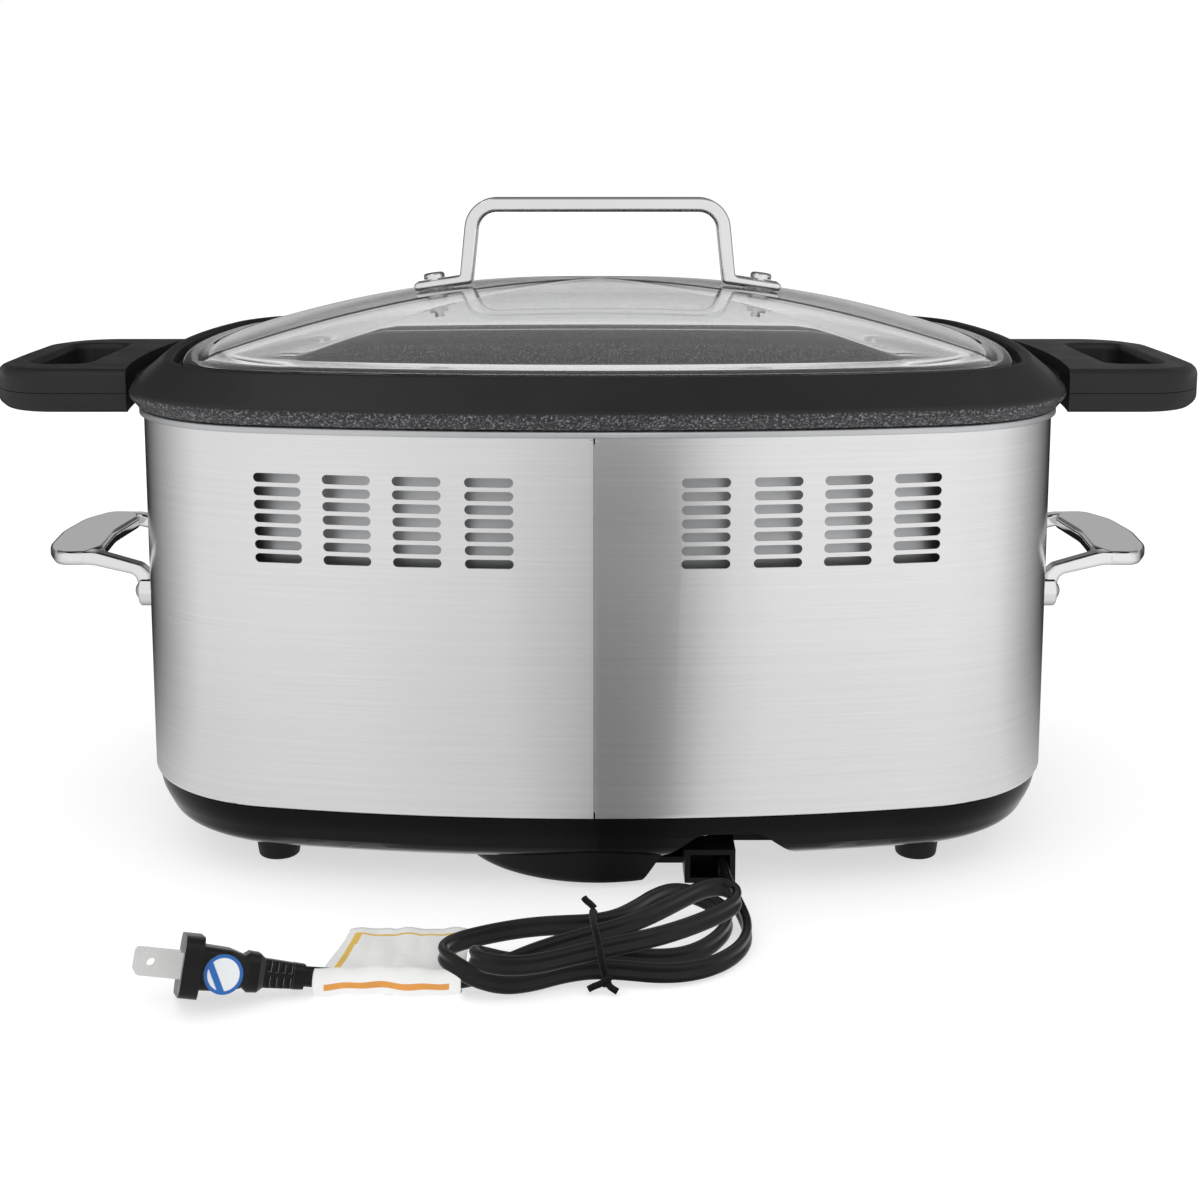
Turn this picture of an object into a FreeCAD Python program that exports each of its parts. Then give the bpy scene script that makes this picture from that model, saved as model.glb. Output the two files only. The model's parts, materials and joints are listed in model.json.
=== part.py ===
import FreeCAD, Part
import math
import os

# A countertop slow cooker: a steel-cased heating base, a lift-out cast pot and a glass lid.
# Millimetres, +Z up. The origin is on the table under the middle of the cooker. The back of the
# cooker, with its vents and its lead, faces -Y, and the controls face +Y.

V = FreeCAD.Vector
UP = V(0, 0, 1)
SIDES = (-1, 1)

# ---- the casing's plan: a rounded rectangle whose four sides bow outwards ----
HALF_WIDTH = 180.0
HALF_DEPTH = 134.0
LONG_SIDE_R = 620.0
SHORT_SIDE_R = 340.0
CORNER_R = 64.0

# ---- heights ----
FLOOR_Z = 10.5
CASING_BOTTOM = 29.5
CASING_TOP = 170.0
BEAD_TOP = 171.0
POT_BOTTOM = 43.3
CREST_Z = 188.0
LID_RIM_TOP = 188.0
LID_RISE = 26.0
LID_HANDLE_TOP = 247.0

# ---- sheet, walls and gaps ----
STEEL = 0.8
PLASTIC = 2.5
POT_WALL = 4.0
GLASS = 4.0
GAP = 0.3
WELL_INSET = 9.0
SWEEP_MARGIN = 20.0
FOOT_X = 122.0
FOOT_Y = 90.0

# ---- vents ----
SLOT_WIDTH = 17.2
SLOT_HEIGHT = 3.3
SLOT_PITCH = 4.85
SLOT_ROWS = 7
SLOT_TOP_Z = 152.4
SLOT_COLUMNS = (38.0, 63.5, 88.5, 113.5)
SEAM_X = -1.2

# ---- pot handles ----
GRIP_END = 240.0
GRIP_HALF_WIDTH = 58.0
GRIP_BOTTOM = 165.6
GRIP_SPLIT = 173.4
GRIP_TOP = 182.6
FINGER_SLOT = (204.0, 226.0, 36.0)
LUG = (176.0, 199.0, 26.0, 172.6, 177.4)
GRIP_SCREW_X = 193.0
GRIP_SCREW_Y = 14.0

# ---- carrying handles on the casing ----
CARRY_END = 226.0
CARRY_TOP = 107.0
CARRY_THICKNESS = 5.6
CARRY_ARM_Y = 38.0
BOSS_Z = 90.6
BOSS_R = 6.3

# ---- front controls ----
PANEL_HALF_WIDTH = 72.0
PANEL_BOTTOM = 62.0
PANEL_TOP = 130.0
PANEL_PROUD = 5.0
PANEL_SKIN = 2.5
KEY_Z = 79.0
KEY_R = 7.0
KEY_PITCH = 24.0
KEY_TRAVEL = 0.8
BOARD_Y = 127.4
BOARD_THICKNESS = 1.6
SWITCH_HEIGHT = 2.4
DISPLAY = (31.0, 96.0, 120.0)
WINDOW = (56.0, 68.0, 124.0)

# ---- mains lead: a flat cord, drawn round at the same section area ----
CORD_R = 2.65
OUTLET = (31.8, 50.3, -124.0, -108.0, 2.0, 14.7)
OUTLET_WALL = 2.0
# the plug lies on its flange's edge, nose up: the flange's middle, and the turns about X, Y and Z
PLUG_FLANGE = (-129.0, -214.5, 12.6)
PLUG_ROLL = -20.0
PLUG_PITCH = 12.0
PLUG_YAW = 13.0
FLANGE_HALF = 2.9
PLUG_SIDE = 9.0
RELIEF_START = 23.2
RELIEF_COLLAR = 32.6
RELIEF_END = 36.2
RELIEF_SLOTS = 4
RELIEF_PITCH = 2.2
BLADE_TIP = -17.2
BLADE_SPACING = 12.7
BLADE_HALF_WIDTH = 3.95
BLADE_THICKNESS = 1.5
LEAD_ROUTE = (
    (45.4, -110.0, 8.7), (45.4, -121.0, 8.6), (46.0, -132.0, 7.6), (47.6, -143.0, 5.6),
    (50.0, -154.0, 3.8), (51.4, -165.0, 3.2), (50.0, -176.0, 3.2), (45.0, -186.0, 3.4),
)
END_ROUTE = (
    (-38.0, -205.0, 4.6), (-49.0, -207.0, 3.6), (-61.0, -208.2, 3.5), (-73.0, -207.4, 3.5),
    (-83.5, -205.4, 3.7), (-93.5, -206.3, 4.9), (-103.3, -208.6, 7.0),
)
# hank sections: x, middle y, half width, bottom z, height
HANK = (
    (-51.0, -199.0, 5.0, 1.4, 6.0), (-46.0, -199.0, 12.0, 0.8, 9.5), (-24.0, -195.0, 14.5, 0.8, 12.0),
    (2.0, -188.0, 10.0, 2.2, 13.0), (22.0, -183.0, 18.0, 1.0, 13.5), (40.0, -176.0, 24.0, 0.9, 12.5),
    (47.0, -175.0, 17.0, 0.9, 9.5), (51.0, -175.0, 6.0, 1.4, 6.0),
)
TIE_R = 0.9
# tag: x from and to, y from and to, and the corner that the hank takes
TAG = (-91.0, -43.0, -208.0, -162.0)
TAG_NOTCH = (-52.5, -184.0)
SLEEVE_START = -90.0
PAPER_GAP = 0.6


# ---------------------------------------------------------------- helpers

def rounded_wire(corners, place):
    """A closed wire through (u, v, radius) corners, each corner rounded by its own radius."""
    bends = []
    for index, (u, v, radius) in enumerate(corners):
        here = V(u, v, 0)
        before = V(corners[index - 1][0], corners[index - 1][1], 0) - here
        after_corner = corners[(index + 1) % len(corners)]
        after = V(after_corner[0], after_corner[1], 0) - here
        before.normalize()
        after.normalize()
        if radius == 0:
            bends.append((here, None, here))
            continue
        half = before.getAngle(after) / 2
        middle = before + after
        middle.normalize()
        centre = here + middle * (radius / math.sin(half))
        reach = radius / math.tan(half)
        bends.append((here + before * reach, centre - middle * radius, here + after * reach))
    edges = []
    for index, (start, middle, end) in enumerate(bends):
        if middle is not None:
            edges.append(Part.Arc(place(start), place(middle), place(end)).toShape())
        following = bends[(index + 1) % len(bends)][0]
        if (following - end).Length > 1e-6:
            edges.append(Part.LineSegment(place(end), place(following)).toShape())
    return Part.Wire(edges)


def flat(z):
    """Places a plan point at height z."""
    return lambda point: V(point.x, point.y, z)


def upright(y):
    """Places a point of an XZ outline at depth y."""
    return lambda point: V(point.x, y, point.y)


def plate(corners, z_low, z_high):
    """A plan outline with rounded corners, raised from z_low to z_high."""
    return Part.Face(rounded_wire(corners, flat(z_low))).extrude(V(0, 0, z_high - z_low))


def slab(corners, y_low, y_high):
    """An XZ outline with rounded corners, carried from y_low to y_high."""
    return Part.Face(rounded_wire(corners, upright(y_low))).extrude(V(0, y_high - y_low, 0))


def rectangle(x_low, x_high, v_low, v_high, radius):
    return (
        (x_low, v_low, radius), (x_high, v_low, radius),
        (x_high, v_high, radius), (x_low, v_high, radius),
    )


def block(x_low, x_high, y_low, y_high, z_low, z_high):
    return Part.makeBox(x_high - x_low, y_high - y_low, z_high - z_low, V(x_low, y_low, z_low))


def corner_centre():
    """Centre of the corner arc that is tangent to a long side and a short side."""
    long_y = HALF_DEPTH - LONG_SIDE_R
    short_x = HALF_WIDTH - SHORT_SIDE_R
    far = LONG_SIDE_R - CORNER_R
    near = SHORT_SIDE_R - CORNER_R
    apart = math.hypot(short_x, long_y)
    along = (far ** 2 - near ** 2 + apart ** 2) / (2 * apart)
    across = math.sqrt(far ** 2 - along ** 2)
    unit = V(short_x / apart, -long_y / apart, 0)
    return V(0, long_y, 0) + unit * along + V(-unit.y, unit.x, 0) * -across


CORNER = corner_centre()
LONG_ANGLE = math.degrees(math.atan2(CORNER.x, CORNER.y - (HALF_DEPTH - LONG_SIDE_R)))
SHORT_ANGLE = math.degrees(math.atan2(CORNER.y, CORNER.x - (HALF_WIDTH - SHORT_SIDE_R)))


def plan_arcs():
    """The eight arcs of the plan, in order: centre, radius, start angle and sweep in degrees."""
    short_x = HALF_WIDTH - SHORT_SIDE_R
    long_y = HALF_DEPTH - LONG_SIDE_R
    corner_sweep = 90 - LONG_ANGLE - SHORT_ANGLE
    return (
        (V(short_x, 0, 0), SHORT_SIDE_R, -SHORT_ANGLE, 2 * SHORT_ANGLE),
        (V(CORNER.x, CORNER.y, 0), CORNER_R, SHORT_ANGLE, corner_sweep),
        (V(0, long_y, 0), LONG_SIDE_R, 90 - LONG_ANGLE, 2 * LONG_ANGLE),
        (V(-CORNER.x, CORNER.y, 0), CORNER_R, 90 + LONG_ANGLE, corner_sweep),
        (V(-short_x, 0, 0), SHORT_SIDE_R, 180 - SHORT_ANGLE, 2 * SHORT_ANGLE),
        (V(-CORNER.x, -CORNER.y, 0), CORNER_R, 180 + SHORT_ANGLE, corner_sweep),
        (V(0, -long_y, 0), LONG_SIDE_R, 270 - LONG_ANGLE, 2 * LONG_ANGLE),
        (V(CORNER.x, -CORNER.y, 0), CORNER_R, 270 + LONG_ANGLE, corner_sweep),
    )


def direction(angle):
    return V(math.cos(math.radians(angle)), math.sin(math.radians(angle)), 0)


def plan_wire(offset, z, scale=1.0):
    """The casing's plan, offset outwards, optionally scaled about its middle."""
    edges = []
    for centre, radius, start, sweep in plan_arcs():
        reach = radius + offset
        points = [centre + direction(start + sweep * part) * reach for part in (0, 0.5, 1)]
        points = [V(p.x * scale, p.y * scale, z) for p in points]
        edges.append(Part.Arc(*points).toShape())
    return Part.Wire(edges)


def plan_prism(offset, z_low, z_high):
    return Part.Face(plan_wire(offset, z_low)).extrude(V(0, 0, z_high - z_low))


def plan_ring(corners):
    """Carries a profile of (offset, z, radius) corners round the casing's plan."""
    spans = []
    for centre, radius, start, sweep in plan_arcs():
        outward = direction(start)

        def place(point, centre=centre, radius=radius, outward=outward):
            return centre + outward * (radius + point.x) + UP * point.y

        profile = Part.Face(rounded_wire(corners, place))
        spans.append(profile.revolve(centre, UP, sweep))
    return spans[0].multiFuse(spans[1:]).removeSplitter()


def back_y(x, offset):
    """How far out the long side lies at x, for a given offset."""
    return HALF_DEPTH - LONG_SIDE_R + math.sqrt((LONG_SIDE_R + offset) ** 2 - x ** 2)


def side_x(y, offset):
    """How far out the short side lies at y, for a given offset."""
    return HALF_WIDTH - SHORT_SIDE_R + math.sqrt((SHORT_SIDE_R + offset) ** 2 - y ** 2)


def route_wire(points, share=0.45):
    """Straight runs joined by tangent arcs; also returns the arcs' radii."""
    corners = [V(*point) for point in points]
    edges = []
    radii = []
    last = corners[0]
    for before, here, after in zip(corners, corners[1:], corners[2:]):
        back = before - here
        ahead = after - here
        reach = share * min(back.Length, ahead.Length)
        back.normalize()
        ahead.normalize()
        half_turn = (math.pi - back.getAngle(ahead)) / 2
        radius = reach / math.tan(half_turn)
        inward = back + ahead
        inward.normalize()
        start = here + back * reach
        end = here + ahead * reach
        centre = here + inward * (radius / math.cos(half_turn))
        edges.append(Part.LineSegment(last, start).toShape())
        edges.append(Part.Arc(start, centre - inward * radius, end).toShape())
        radii.append(radius)
        last = end
    edges.append(Part.LineSegment(last, corners[-1]).toShape())
    return Part.Wire(edges), radii


def tube(points, radius, share=0.45):
    """A round tube along a route."""
    path, radii = route_wire(points, share)
    start = V(*points[0])
    ring = Part.Wire([Part.Circle(start, V(*points[1]) - start, radius).toShape()])
    return path.makePipeShell([ring], True, False), path.Length, radii


def flipped(corners):
    """The same corners on the other side of the middle, in the reverse order."""
    return tuple((-u, v, radius) for u, v, radius in reversed(corners))


def mirrored(shape):
    return shape.mirror(V(0, 0, 0), V(1, 0, 0))


def fused(shapes):
    return shapes[0].multiFuse(list(shapes[1:])).removeSplitter()


# ---------------------------------------------------------------- casing

def vent_slots():
    """The 56 level slots, in eight columns, cut through the back of the casing."""
    slots = []
    round_end = SLOT_HEIGHT / 2 - 0.01
    for side in SIDES:
        for column in SLOT_COLUMNS:
            for row in range(SLOT_ROWS):
                x = side * column
                z = SLOT_TOP_Z - row * SLOT_PITCH
                outline = rectangle(
                    x - SLOT_WIDTH / 2, x + SLOT_WIDTH / 2,
                    z - SLOT_HEIGHT / 2, z + SLOT_HEIGHT / 2, round_end)
                slots.append(slab(outline, -HALF_DEPTH - SWEEP_MARGIN, -HALF_DEPTH + SWEEP_MARGIN))
    return Part.makeCompound(slots)


def panel_opening():
    """The window in the casing's front, behind the control panel."""
    half, low, high = WINDOW
    outline = rectangle(-half, half, low, high, 6.0)
    return slab(outline, HALF_DEPTH - SWEEP_MARGIN, HALF_DEPTH + SWEEP_MARGIN)


def rivet_holes():
    holes = []
    for side in SIDES:
        for y_side in SIDES:
            start = V(side * (HALF_WIDTH - SWEEP_MARGIN), y_side * CARRY_ARM_Y, BOSS_Z)
            holes.append(Part.makeCylinder(2.1, 2 * SWEEP_MARGIN, start, V(side, 0, 0)))
    return Part.makeCompound(holes)


def make_outer_shell():
    wall = plan_ring((
        (0, CASING_BOTTOM, 2.2), (0, CASING_TOP, 0), (-STEEL, CASING_TOP, 0),
        (-STEEL, CASING_BOTTOM + STEEL, 1.4), (-7, CASING_BOTTOM + STEEL, 0), (-7, CASING_BOTTOM, 0),
    ))
    seam = block(SEAM_X - 0.3, SEAM_X + 0.3, -HALF_DEPTH - 5, -HALF_DEPTH + SWEEP_MARGIN, 0, CREST_Z)
    wall = wall.cut(seam)
    lips = []
    for side in SIDES:
        lip = plan_ring((
            (-0.2, CASING_BOTTOM + 2.4, 0), (0.7, CASING_BOTTOM + 2.4, 0.4),
            (0.7, BEAD_TOP - 3.2, 0.4), (-0.2, BEAD_TOP - 3.2, 0)))
        x_near = SEAM_X + side * 0.3
        x_far = SEAM_X + side * 1.5
        keep = block(min(x_near, x_far), max(x_near, x_far), -HALF_DEPTH - 5, -HALF_DEPTH + 5, 0, CREST_Z)
        lips.append(lip.common(keep))
    return fused([wall] + lips).cut(vent_slots()).cut(panel_opening()).cut(rivet_holes())


def make_seam_strip():
    """The strip spot-welded behind the casing's seam."""
    strip = plan_ring(rectangle(-2 * STEEL, -STEEL, CASING_BOTTOM + 3, CASING_TOP - 4, 0))
    return strip.common(block(SEAM_X - 8, SEAM_X + 8, -HALF_DEPTH, -HALF_DEPTH + 5, 0, CREST_Z))


def make_heating_well():
    """The pressed liner: rolled rim over the casing, straight wall, floor with a large opening."""
    inner = -WELL_INSET - STEEL
    well = plan_ring((
        (1.7, BEAD_TOP, 1.2), (1.7, BEAD_TOP - 2.6, 0.5), (0.3, BEAD_TOP - 2.6, 0.3),
        (0.3, BEAD_TOP - STEEL, 0.4), (-WELL_INSET, BEAD_TOP - STEEL, 1.6),
        (-WELL_INSET, 36.0, 12.8), (-58.0, 36.0, 0), (-58.0, 36.0 + STEEL, 0),
        (inner, 36.0 + STEEL, 12.0), (inner, BEAD_TOP, 2.4),
    ))
    return well


# ---------------------------------------------------------------- base

BASE_PROFILE = (
    (-1.3, CASING_BOTTOM - 0.1, 0), (-2.2, 24.0, 20.0), (-7.0, 14.5, 9.0), (-14.0, FLOOR_Z, 8.0),
)


def base_form():
    """The base's solid outer form, from its rounded skirt to its flat floor."""
    skirt = plan_ring(BASE_PROFILE + ((-30.0, FLOOR_Z, 0), (-30.0, CASING_BOTTOM - 0.1, 0)))
    return fused([skirt, plan_prism(-30.0, FLOOR_Z, CASING_BOTTOM - 0.1)])


def base_hollow():
    inset = [(offset - PLASTIC, z, radius) for offset, z, radius in BASE_PROFILE[:3]]
    inset[0] = (inset[0][0], CASING_BOTTOM + 1, 0)
    floor = FLOOR_Z + PLASTIC
    inset[2] = (inset[2][0], 16.0, 6.0)
    skirt = plan_ring(tuple(inset) + ((-15.0, floor, 4.0), (-30.0, floor, 0), (-30.0, CASING_BOTTOM + 1, 0)))
    return fused([skirt, plan_prism(-30.0, floor, CASING_BOTTOM + 1)])


def cord_arch():
    """The bell-shaped cut in the back of the base, over the lead."""
    outline = (
        (10.0, -6.0, 0), (23.0, 11.0, 9.0), (37.0, 22.6, 9.0),
        (59.0, 22.6, 9.0), (73.0, 11.0, 9.0), (86.0, -6.0, 0),
    )
    return slab(outline, -HALF_DEPTH - 5, -104.0)


def foot_spots():
    return [V(x_side * FOOT_X, y_side * FOOT_Y, 0) for y_side in SIDES for x_side in SIDES]


def make_base_moulding():
    moulding = base_form().cut(base_hollow())
    pegs = []
    for spot in foot_spots():
        pegs.append(Part.makeCylinder(4.5, 9.0, V(spot.x, spot.y, FLOOR_Z + PLASTIC)))
    moulding = fused([moulding] + pegs + board_posts())
    for spot in foot_spots():
        moulding = moulding.cut(Part.makeCylinder(1.7, 12.0, V(spot.x, spot.y, FLOOR_Z)))
    ribs = []
    for x in (-100.0, -50.0, 0.0, 50.0, 100.0):
        ribs.append(block(x - 3, x + 3, 20.0, 90.0, FLOOR_Z - 1, FLOOR_Z + PLASTIC + 1))
    vents = Part.makeCompound(ribs)
    wire_way = block(38.0, 50.0, -108.0, -98.0, FLOOR_Z - 1, FLOOR_Z + PLASTIC + 1)
    return moulding.cut(cord_arch()).cut(vents).cut(wire_way)


def make_bottom_pan():
    """The sheet floor of the hot space, turned down where the lead leaves."""
    sheet = plan_prism(-9.5, 23.2, 24.0)
    lip_back = -back_y(45.0, -12.0)
    lip = slab((
        (31.0, 24.0, 0), (63.0, 24.0, 0), (61.0, 20.6, 2.0), (54.0, 19.6, 6.0),
        (47.0, 22.0, 5.0), (39.0, 18.2, 5.0), (33.0, 20.4, 2.0)), lip_back, lip_back + STEEL)
    pan = fused([sheet, lip])
    for spot in foot_spots():
        pan = pan.cut(Part.makeCylinder(5.0, 10.0, V(spot.x, spot.y, 18.0)))
    return pan.cut(block(-20.0, 20.0, -70.0, -44.0, 18.0, 26.0))


HUB = (V(0, -72.0, 1.6), 54.0)


def make_cord_hub():
    """The round drum under the base, open on top, with a rounded lower edge."""
    centre, radius = HUB
    profile = rounded_wire((
        (0.0, 0.0, 0), (radius, 0.0, 4.0), (radius + 0.6, 14.0, 0), (radius - 1.8, 14.0, 0),
        (radius - 2.4, 2.4, 2.0), (0.0, 2.4, 0)), lambda p: V(centre.x + p.x, centre.y, centre.z + p.y))
    hub = Part.Face(profile).revolve(centre, UP, 360)
    x_low, x_high, y_low, y_high, z_low, z_high = OUTLET
    hub = hub.cut(block(x_low, x_high, y_low, y_high, z_low - 1, 20.0))
    hub = hub.cut(base_form())
    hub = hub.cut(cord_arch())
    return hub.Solids[0]


def make_foot(spot):
    """A rubber foot: a tapered puck with a recess for its screw."""
    profile = rounded_wire((
        (0.0, 2.4, 0), (4.0, 2.4, 0), (4.0, 0.0, 0), (7.6, 0.0, 1.2), (9.0, FLOOR_Z, 0),
        (1.9, FLOOR_Z, 0), (1.9, 4.4, 0), (0.0, 4.4, 0)), lambda p: V(spot.x + p.x, spot.y, p.y))
    puck = Part.Face(profile).revolve(spot, UP, 360)
    return puck.cut(Part.makeCylinder(1.9, 6.0, V(spot.x, spot.y, 1.0)))


def make_foot_screws():
    screws = []
    for spot in foot_spots():
        head = Part.makeCylinder(3.6, 1.6, V(spot.x, spot.y, 0.8))
        shank = Part.makeCylinder(1.6, 16.0, V(spot.x, spot.y, 2.4))
        screws.append(fused([head, shank]))
    return Part.makeCompound(screws)


# ---------------------------------------------------------------- carrying handles

def make_carry_handle():
    """The right-hand chrome handle: a broad grip and two arms that turn down into bosses."""
    face_x = side_x(CARRY_ARM_Y, 0) + 1.6
    low = CARRY_TOP - CARRY_THICKNESS
    grip = plate((
        (205.0, -41.6, 3.0), (217.0, -42.5, 7.0), (CARRY_END - 1.5, -26.0, 30.0),
        (CARRY_END + 0.8, 0.0, 60.0), (CARRY_END - 1.5, 26.0, 30.0), (217.0, 42.5, 7.0),
        (205.0, 41.6, 3.0), (201.0, 30.0, 8.0), (203.5, 0.0, 60.0), (201.0, -30.0, 8.0),
    ), low, CARRY_TOP)
    pieces = [grip.makeFillet(2.0, [e for e in grip.Edges if e.BoundBox.ZLength < 0.01])]
    for side in SIDES:
        arm = slab((
            (face_x + 0.3, BOSS_Z + 2, 1.6), (face_x + 5.3, BOSS_Z + 2, 1.6),
            (face_x + 6.3, 97.4, 4.0), (203.0, low, 14.0), (213.0, low + 0.4, 2.0),
            (213.0, CARRY_TOP - 0.4, 2.0), (202.0, CARRY_TOP, 16.0), (face_x + 4.0, 101.6, 6.0),
            (face_x + 0.3, 98.0, 2.5)), side * CARRY_ARM_Y - 3.6, side * CARRY_ARM_Y + 3.6)
        arm = arm.makeFillet(1.4, [e for e in arm.Edges if e.BoundBox.YLength < 0.01])
        boss = Part.makeCylinder(BOSS_R, 5.0, V(face_x, side * CARRY_ARM_Y, BOSS_Z), V(1, 0, 0))
        boss = boss.makeFillet(1.0, [e for e in boss.Edges if e.BoundBox.XMin > face_x + 4.9])
        pieces += [arm, boss]
    handle = fused(pieces)
    for side in SIDES:
        handle = handle.cut(Part.makeCylinder(2.1, 12.0, V(face_x - 1, side * CARRY_ARM_Y, BOSS_Z), V(1, 0, 0)))
    return handle


def make_carry_discs():
    """The thin discs between each boss and the casing."""
    face_x = side_x(CARRY_ARM_Y, 0)
    discs = []
    for side in SIDES:
        for y_side in SIDES:
            start = V(side * (face_x - 1.5), y_side * CARRY_ARM_Y, BOSS_Z)
            disc = Part.makeCylinder(7.0, 3.1, start, V(side, 0, 0))
            disc = disc.cut(plan_prism(0, CASING_BOTTOM, CASING_TOP))
            discs.append(disc.cut(rivet_holes()))
    return Part.makeCompound(discs)


def make_carry_rivets(handle):
    """Domed rivets through boss, disc and casing, each with a nut plate inside."""
    handles = Part.makeCompound([handle, mirrored(handle)])
    face_x = side_x(CARRY_ARM_Y, 0)
    rivets = []
    for side in SIDES:
        for y_side in SIDES:
            axis = V(side, 0, 0)
            start = V(side * (face_x - 4.0), y_side * CARRY_ARM_Y, BOSS_Z)
            shank = Part.makeCylinder(2.1, 11.2, start, axis)
            head_x = side * (face_x + 6.6 - 2.4)
            ball = Part.makeSphere(4.6, V(head_x, y_side * CARRY_ARM_Y, BOSS_Z))
            cap_start = V(side * (face_x + 6.6), y_side * CARRY_ARM_Y, BOSS_Z)
            head = ball.common(Part.makeCylinder(6.0, 6.0, cap_start, axis))
            backing = Part.makeCylinder(5.0, 2.0, start, axis)
            backing = backing.cut(plan_ring(rectangle(-STEEL, 4, CASING_BOTTOM + 8, CASING_TOP - 8, 0)))
            rivets.append(fused([shank, head.cut(handles), backing]))
    return Part.makeCompound(rivets)


# ---------------------------------------------------------------- heater

ELEMENT_R = 3.3
ELEMENT_Z = 36.2


def make_heating_element():
    """A tubular element: one rounded loop under the plate, its ends turned down at the back."""
    x = 96.0
    y = 48.0
    route = (
        (-13.0, -62.0, 26.0), (-13.0, -62.0, ELEMENT_Z), (-13.0, -46.0, ELEMENT_Z),
        (-13.0 - x / 2, -y, ELEMENT_Z), (-x, -y + 4, ELEMENT_Z), (-x, y, ELEMENT_Z),
        (0.0, y + 2, ELEMENT_Z), (x, y, ELEMENT_Z), (x, -y + 4, ELEMENT_Z),
        (13.0 + x / 2, -y, ELEMENT_Z), (13.0, -46.0, ELEMENT_Z), (13.0, -62.0, ELEMENT_Z),
        (13.0, -62.0, 26.0),
    )
    return tube(route, ELEMENT_R)[0]


def make_heater_plate(element):
    low = 36.0 + STEEL
    body = plan_prism(-46.0, low, low + 6.0)
    body = body.cut(Part.makeCylinder(17.0, 10.0, V(0, 0, low - 1)))
    return body.cut(element)


def make_terminal_insulators(element):
    sleeves = []
    for side in SIDES:
        sleeve = Part.makeCylinder(5.4, 4.2, V(side * 13.0, -62.0, 26.6))
        sleeves.append(sleeve.cut(element))
    return Part.makeCompound(sleeves)


SENSOR_TOP = 43.0


def make_temp_sensor():
    """The sensor can that presses up against the pot."""
    can = Part.makeCylinder(13.0, 7.0, V(0, 0, SENSOR_TOP - 7.0))
    can = can.makeFillet(1.2, [can.Edges[0]])
    skirt = Part.makeCylinder(5.0, 4.0, V(0, 0, SENSOR_TOP - 11.0))
    return fused([can, skirt])


def make_sensor_bridge():
    """A strap hung under the heater plate, which carries the sensor's spring."""
    low = 28.0
    strap = plate(rectangle(-30.0, 30.0, -9.0, 9.0, 6.0), low, low + 1.2)
    posts = [Part.makeCylinder(3.0, 36.0 + STEEL - low - 1.2, V(x, 0, low + 1.2)) for x in (-24.0, 24.0)]
    return fused([strap] + posts)


def make_sensor_spring():
    wire_r = 0.6
    low = 29.2 + wire_r
    high = SENSOR_TOP - 7.0 - wire_r
    helix = Part.makeHelix(1.8, high - low, 7.5)
    ring = Part.Wire([Part.Circle(V(7.5, 0, 0), V(0, 1, 0), wire_r).toShape()])
    spring = Part.Wire(helix.Edges).makePipeShell([ring], True, True)
    spring.translate(V(0, 0, low))
    return spring


FUSE = V(-60.0, 0.0, 33.6)


def make_thermal_fuse():
    body = Part.makeCylinder(2.0, 12.0, FUSE - V(6, 0, 0), V(1, 0, 0))
    leads = Part.makeCylinder(0.5, 30.0, FUSE - V(15, 0, 0), V(1, 0, 0))
    return fused([body, leads])


def make_fuse_clip(fuse):
    low = FUSE.z - 3.4
    clip = block(FUSE.x - 4, FUSE.x + 4, -3.4, 3.4, low, 36.0 + STEEL)
    return clip.cut(fuse)


# ---------------------------------------------------------------- electrics in the base

POWER_BOARD = (-118.0, -30.0, 24.0, 84.0, 15.0, 16.6)


def make_power_board():
    x_low, x_high, y_low, y_high, z_low, z_high = POWER_BOARD
    board = plate(rectangle(x_low, x_high, y_low, y_high, 2.0), z_low, z_high)
    for x in (x_low + 5, x_high - 5):
        for y in (y_low + 5, y_high - 5):
            board = board.cut(Part.makeCylinder(1.6, 4.0, V(x, y, z_low - 1)))
    return board


def board_posts():
    """The moulded standoffs between the floor and the power board."""
    x_low, x_high, y_low, y_high, z_low, z_high = POWER_BOARD
    posts = []
    for x in (x_low + 5, x_high - 5):
        for y in (y_low + 5, y_high - 5):
            posts.append(Part.makeCylinder(3.4, z_low - FLOOR_Z - 1, V(x, y, FLOOR_Z + 1)))
            posts.append(Part.makeCylinder(1.6, z_high + 1 - z_low, V(x, y, z_low)))
    return posts


def on_board(x_low, x_high, y_low, y_high, height, radius):
    top = POWER_BOARD[5]
    return plate(rectangle(x_low, x_high, y_low, y_high, radius), top, top + height)


def make_relay():
    body = on_board(-100.0, -78.0, 34.0, 50.0, 5.8, 0.6)
    return body.makeChamfer(0.5, [e for e in body.Edges if e.BoundBox.ZMin > POWER_BOARD[5] + 5.7])


def make_capacitor():
    return on_board(-66.0, -48.0, 36.0, 46.0, 5.6, 2.0)


def make_terminal_block():
    body = on_board(-112.0, -92.0, 60.0, 72.0, 6.0, 0.8)
    for x in (-107.0, -102.0, -97.0):
        body = body.cut(Part.makeCylinder(1.6, 4.0, V(x, 66.0, POWER_BOARD[5] + 3.0)))
    return body


def make_inner_wiring():
    """Two insulated wires from the lead's entry to the power board."""
    wires = []
    for shift in (0.0, 6.0):
        route = (
            (41.0 + shift, -101.0, 15.2), (40.0 + shift, -84.0, 15.6), (30.0 + shift, -54.0, 15.4),
            (0.0 + shift, -20.0, 15.6), (-30.0, 2.0 + shift, 15.6), (-56.0, 8.0 + shift, 15.6),
            (-76.0 - shift, 14.0 + shift / 2, 15.8),
        )
        wires.append(tube(route, 1.4)[0])
    return Part.makeCompound(wires)


# ---------------------------------------------------------------- front controls

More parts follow.
